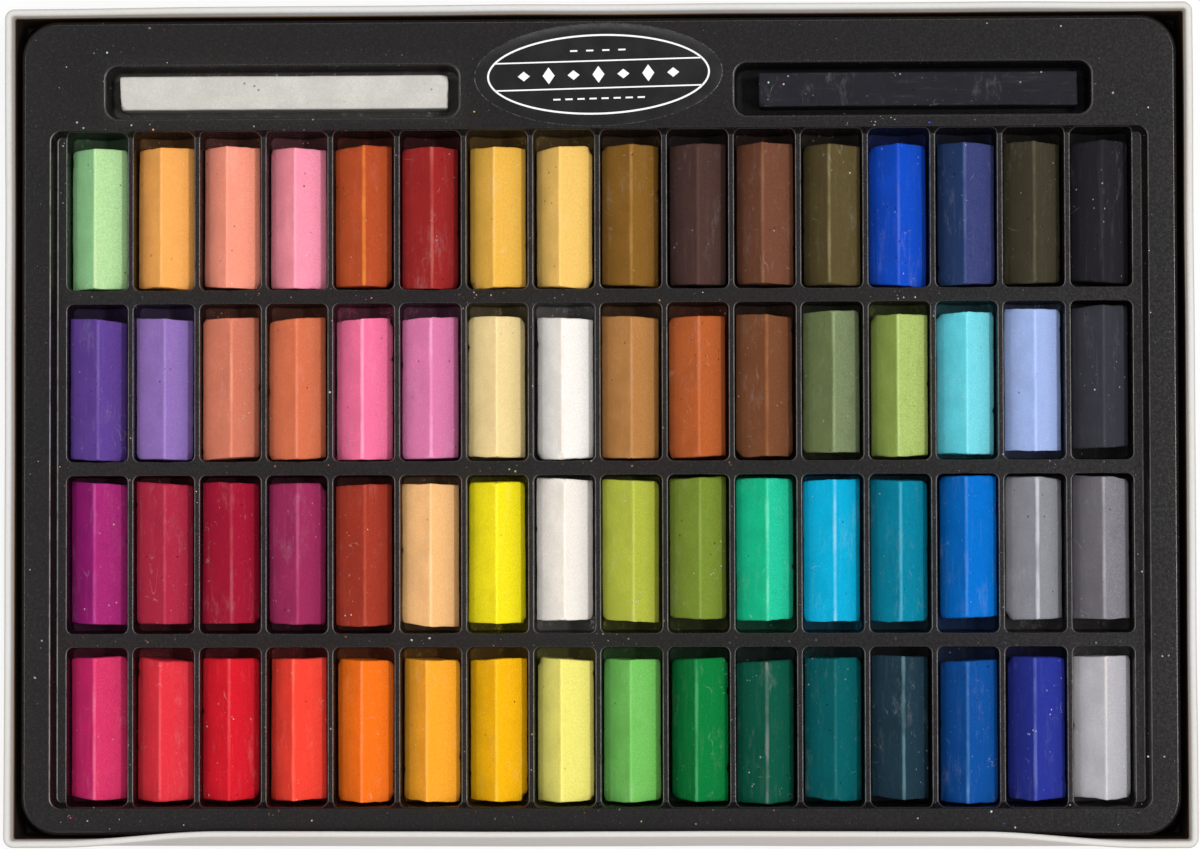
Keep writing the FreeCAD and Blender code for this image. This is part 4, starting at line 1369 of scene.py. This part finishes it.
def make_crumb(place, in_heap, draw):
    """The points of one crumb on the sheet."""
    smallest, largest = CRUMB_SIZE
    size = smallest + (largest - smallest) * draw.uniform() ** (HEAP_POWER if in_heap else STRAY_POWER)
    bit = np.array(CRUMB_SHAPE) * draw.uniform(*CRUMB_STRETCH, (len(CRUMB_SHAPE), 3)) * size
    x, y = turned(bit[:, 0], bit[:, 1], draw.uniform(0, math.pi))
    height = sheet_height(place[None])[0] + size * 0.4
    return np.column_stack([x, y, bit[:, 2]]) + (*place, height)


def make_crumbs(material):
    """Small broken bits of chalk that lie on the sheet, in the colour of the nearest stick or whitish."""
    draw = np.random.default_rng(CRUMB_SEED)
    reach = np.array(INSERT) / 2
    places = [draw.normal(place, spread, (count, 2)) for place, count, spread in CRUMB_HEAPS]
    places.append(draw.uniform(-reach, reach, (STRAY_CRUMBS, 2)))
    xy = np.concatenate(places)
    heaped = np.arange(len(xy)) < len(xy) - STRAY_CRUMBS
    free = on_sheet(xy, CRUMB_CLEAR)
    xy, heaped = xy[free], heaped[free]
    count = len(CRUMB_SHAPE)
    points = []
    faces = []
    colours = []
    for number, (place, row, column, in_heap) in enumerate(zip(xy, *nearest_cell(xy), heaped)):
        points.append(make_crumb(place, in_heap, draw))
        faces += [tuple(number * count + i for i in face) for face in CRUMB_FACES]
        whitish = draw.uniform() < WHITISH_SHARE
        colour = scaled(WHITISH_TONE, draw.uniform(*WHITISH_LEVELS)) if whitish else SHADES[row, column]
        colours.append(np.tile((*colour, 1), (count, 1)))
    piece = make_piece("chalk_crumbs", np.concatenate(points), faces, "insert", [material])
    add_colours(piece.data, "pigment", np.concatenate(colours))
    return piece


# floor, light and camera
CAMERA_PLACE = (0.02474, -0.02263, 0.8645)
CAMERA_TURN = (1.543, 1.634, -0.194)
CAMERA_LENS = 102.46
FLOOR_REACH = 4.0
FLOOR_GLOW = 0.8
WORLD_LEVEL = 0.66

# strip lamps round the object: place, size in x and y, level
STRIPS = {
    "strip_right": ((0.68, 0.0, 1.25), (0.12, 0.62), 0.46),
    "strip_left": ((-0.74, 0.0, 1.25), (0.14, 0.62), 0.15),
    "strip_back": ((0.0, 0.66, 1.28), (0.9, 0.12), 0.12),
    "strip_front": ((0.0, -0.66, 1.28), (0.9, 0.12), 0.12),
}


def make_floor():
    """A plain pale floor that reads as white to the camera and keeps the object's shadow."""
    mesh = bpy.data.meshes.new("floor")
    corners = [(x * FLOOR_REACH, y * FLOOR_REACH, 0) for x, y in ((-1, -1), (1, -1), (1, 1), (-1, 1))]
    mesh.from_pydata(corners, [], [(0, 1, 2, 3)])
    add_object("floor", mesh)
    nodes = Nodes("floor", (0.8, 0.8, 0.8))
    nodes.finish(0.7)
    path = nodes.add("ShaderNodeLightPath")
    seen = nodes.math("MAXIMUM", path.outputs["Is Camera Ray"], path.outputs["Is Glossy Ray"])
    glow = nodes.add("ShaderNodeEmission")
    blend = nodes.add("ShaderNodeMixShader")
    nodes.link(nodes.times(seen, FLOOR_GLOW), blend.inputs[0])
    nodes.link(nodes.shader.outputs[0], blend.inputs[1])
    nodes.link(glow.outputs[0], blend.inputs[2])
    output = nodes.tree.nodes["Material Output"]
    nodes.link(blend.outputs[0], output.inputs["Surface"])
    mesh.materials.append(nodes.material)


def make_world(level):
    """Even light from all sides, white to the camera."""
    world = bpy.data.worlds.new("studio")
    bpy.context.scene.world = world
    world.use_nodes = True
    tree = world.node_tree
    background = tree.nodes["Background"]
    path = tree.nodes.new("ShaderNodeLightPath")
    strength = tree.nodes.new("ShaderNodeMapRange")
    strength.inputs["To Min"].default_value = level
    strength.inputs["To Max"].default_value = 1.0
    tree.links.new(path.outputs["Is Camera Ray"], strength.inputs["Value"])
    tree.links.new(strength.outputs["Result"], background.inputs["Strength"])
    background.inputs["Color"].default_value = (1, 1, 1, 1)


def add_strip(name, place, size, level):
    """A strip lamp that points at the object. The level is its share of plain light straight under it."""
    lamp = bpy.data.lights.new(name, "AREA")
    distance = math.dist(place, (0, 0, 0))
    lamp.energy = level * (math.pi * distance) ** 2
    lamp.shape = "RECTANGLE"
    lamp.size, lamp.size_y = size
    holder = add_object(name, lamp)
    holder.location = place
    if abs(place[0]) > abs(place[1]):
        holder.rotation_euler = (0, math.atan2(place[0], place[2]), 0)
    else:
        holder.rotation_euler = (-math.atan2(place[1], place[2]), 0, 0)


def make_camera():
    """The camera of the photograph: straight above, a little right and in front of the middle."""
    data = bpy.data.cameras.new("camera")
    data.sensor_fit = "HORIZONTAL"
    data.sensor_width = 36
    data.lens = CAMERA_LENS
    camera = add_object("camera", data)
    camera.location = CAMERA_PLACE
    camera.rotation_mode = "YXZ"
    camera.rotation_euler = [math.radians(angle) for angle in CAMERA_TURN]
    bpy.context.scene.camera = camera


def build_scene():
    """Every piece, the floor, the light and the camera."""
    make_insert(sheet_material())
    for node in STICK_NODES:
        make_stick_node(node)
    make_long_stick("long_stick_white", 901)
    make_long_stick("long_stick_black", 902)
    make_tray(board_material())
    make_label(film_material())
    make_label_print(ink_material())
    make_crumbs(crumb_material())
    make_floor()
    make_world(WORLD_LEVEL)
    for name, (place, size, level) in STRIPS.items():
        add_strip(name, place, size, level)
    make_camera()


build_scene()
bpy.context.scene.view_settings.view_transform = "Standard"
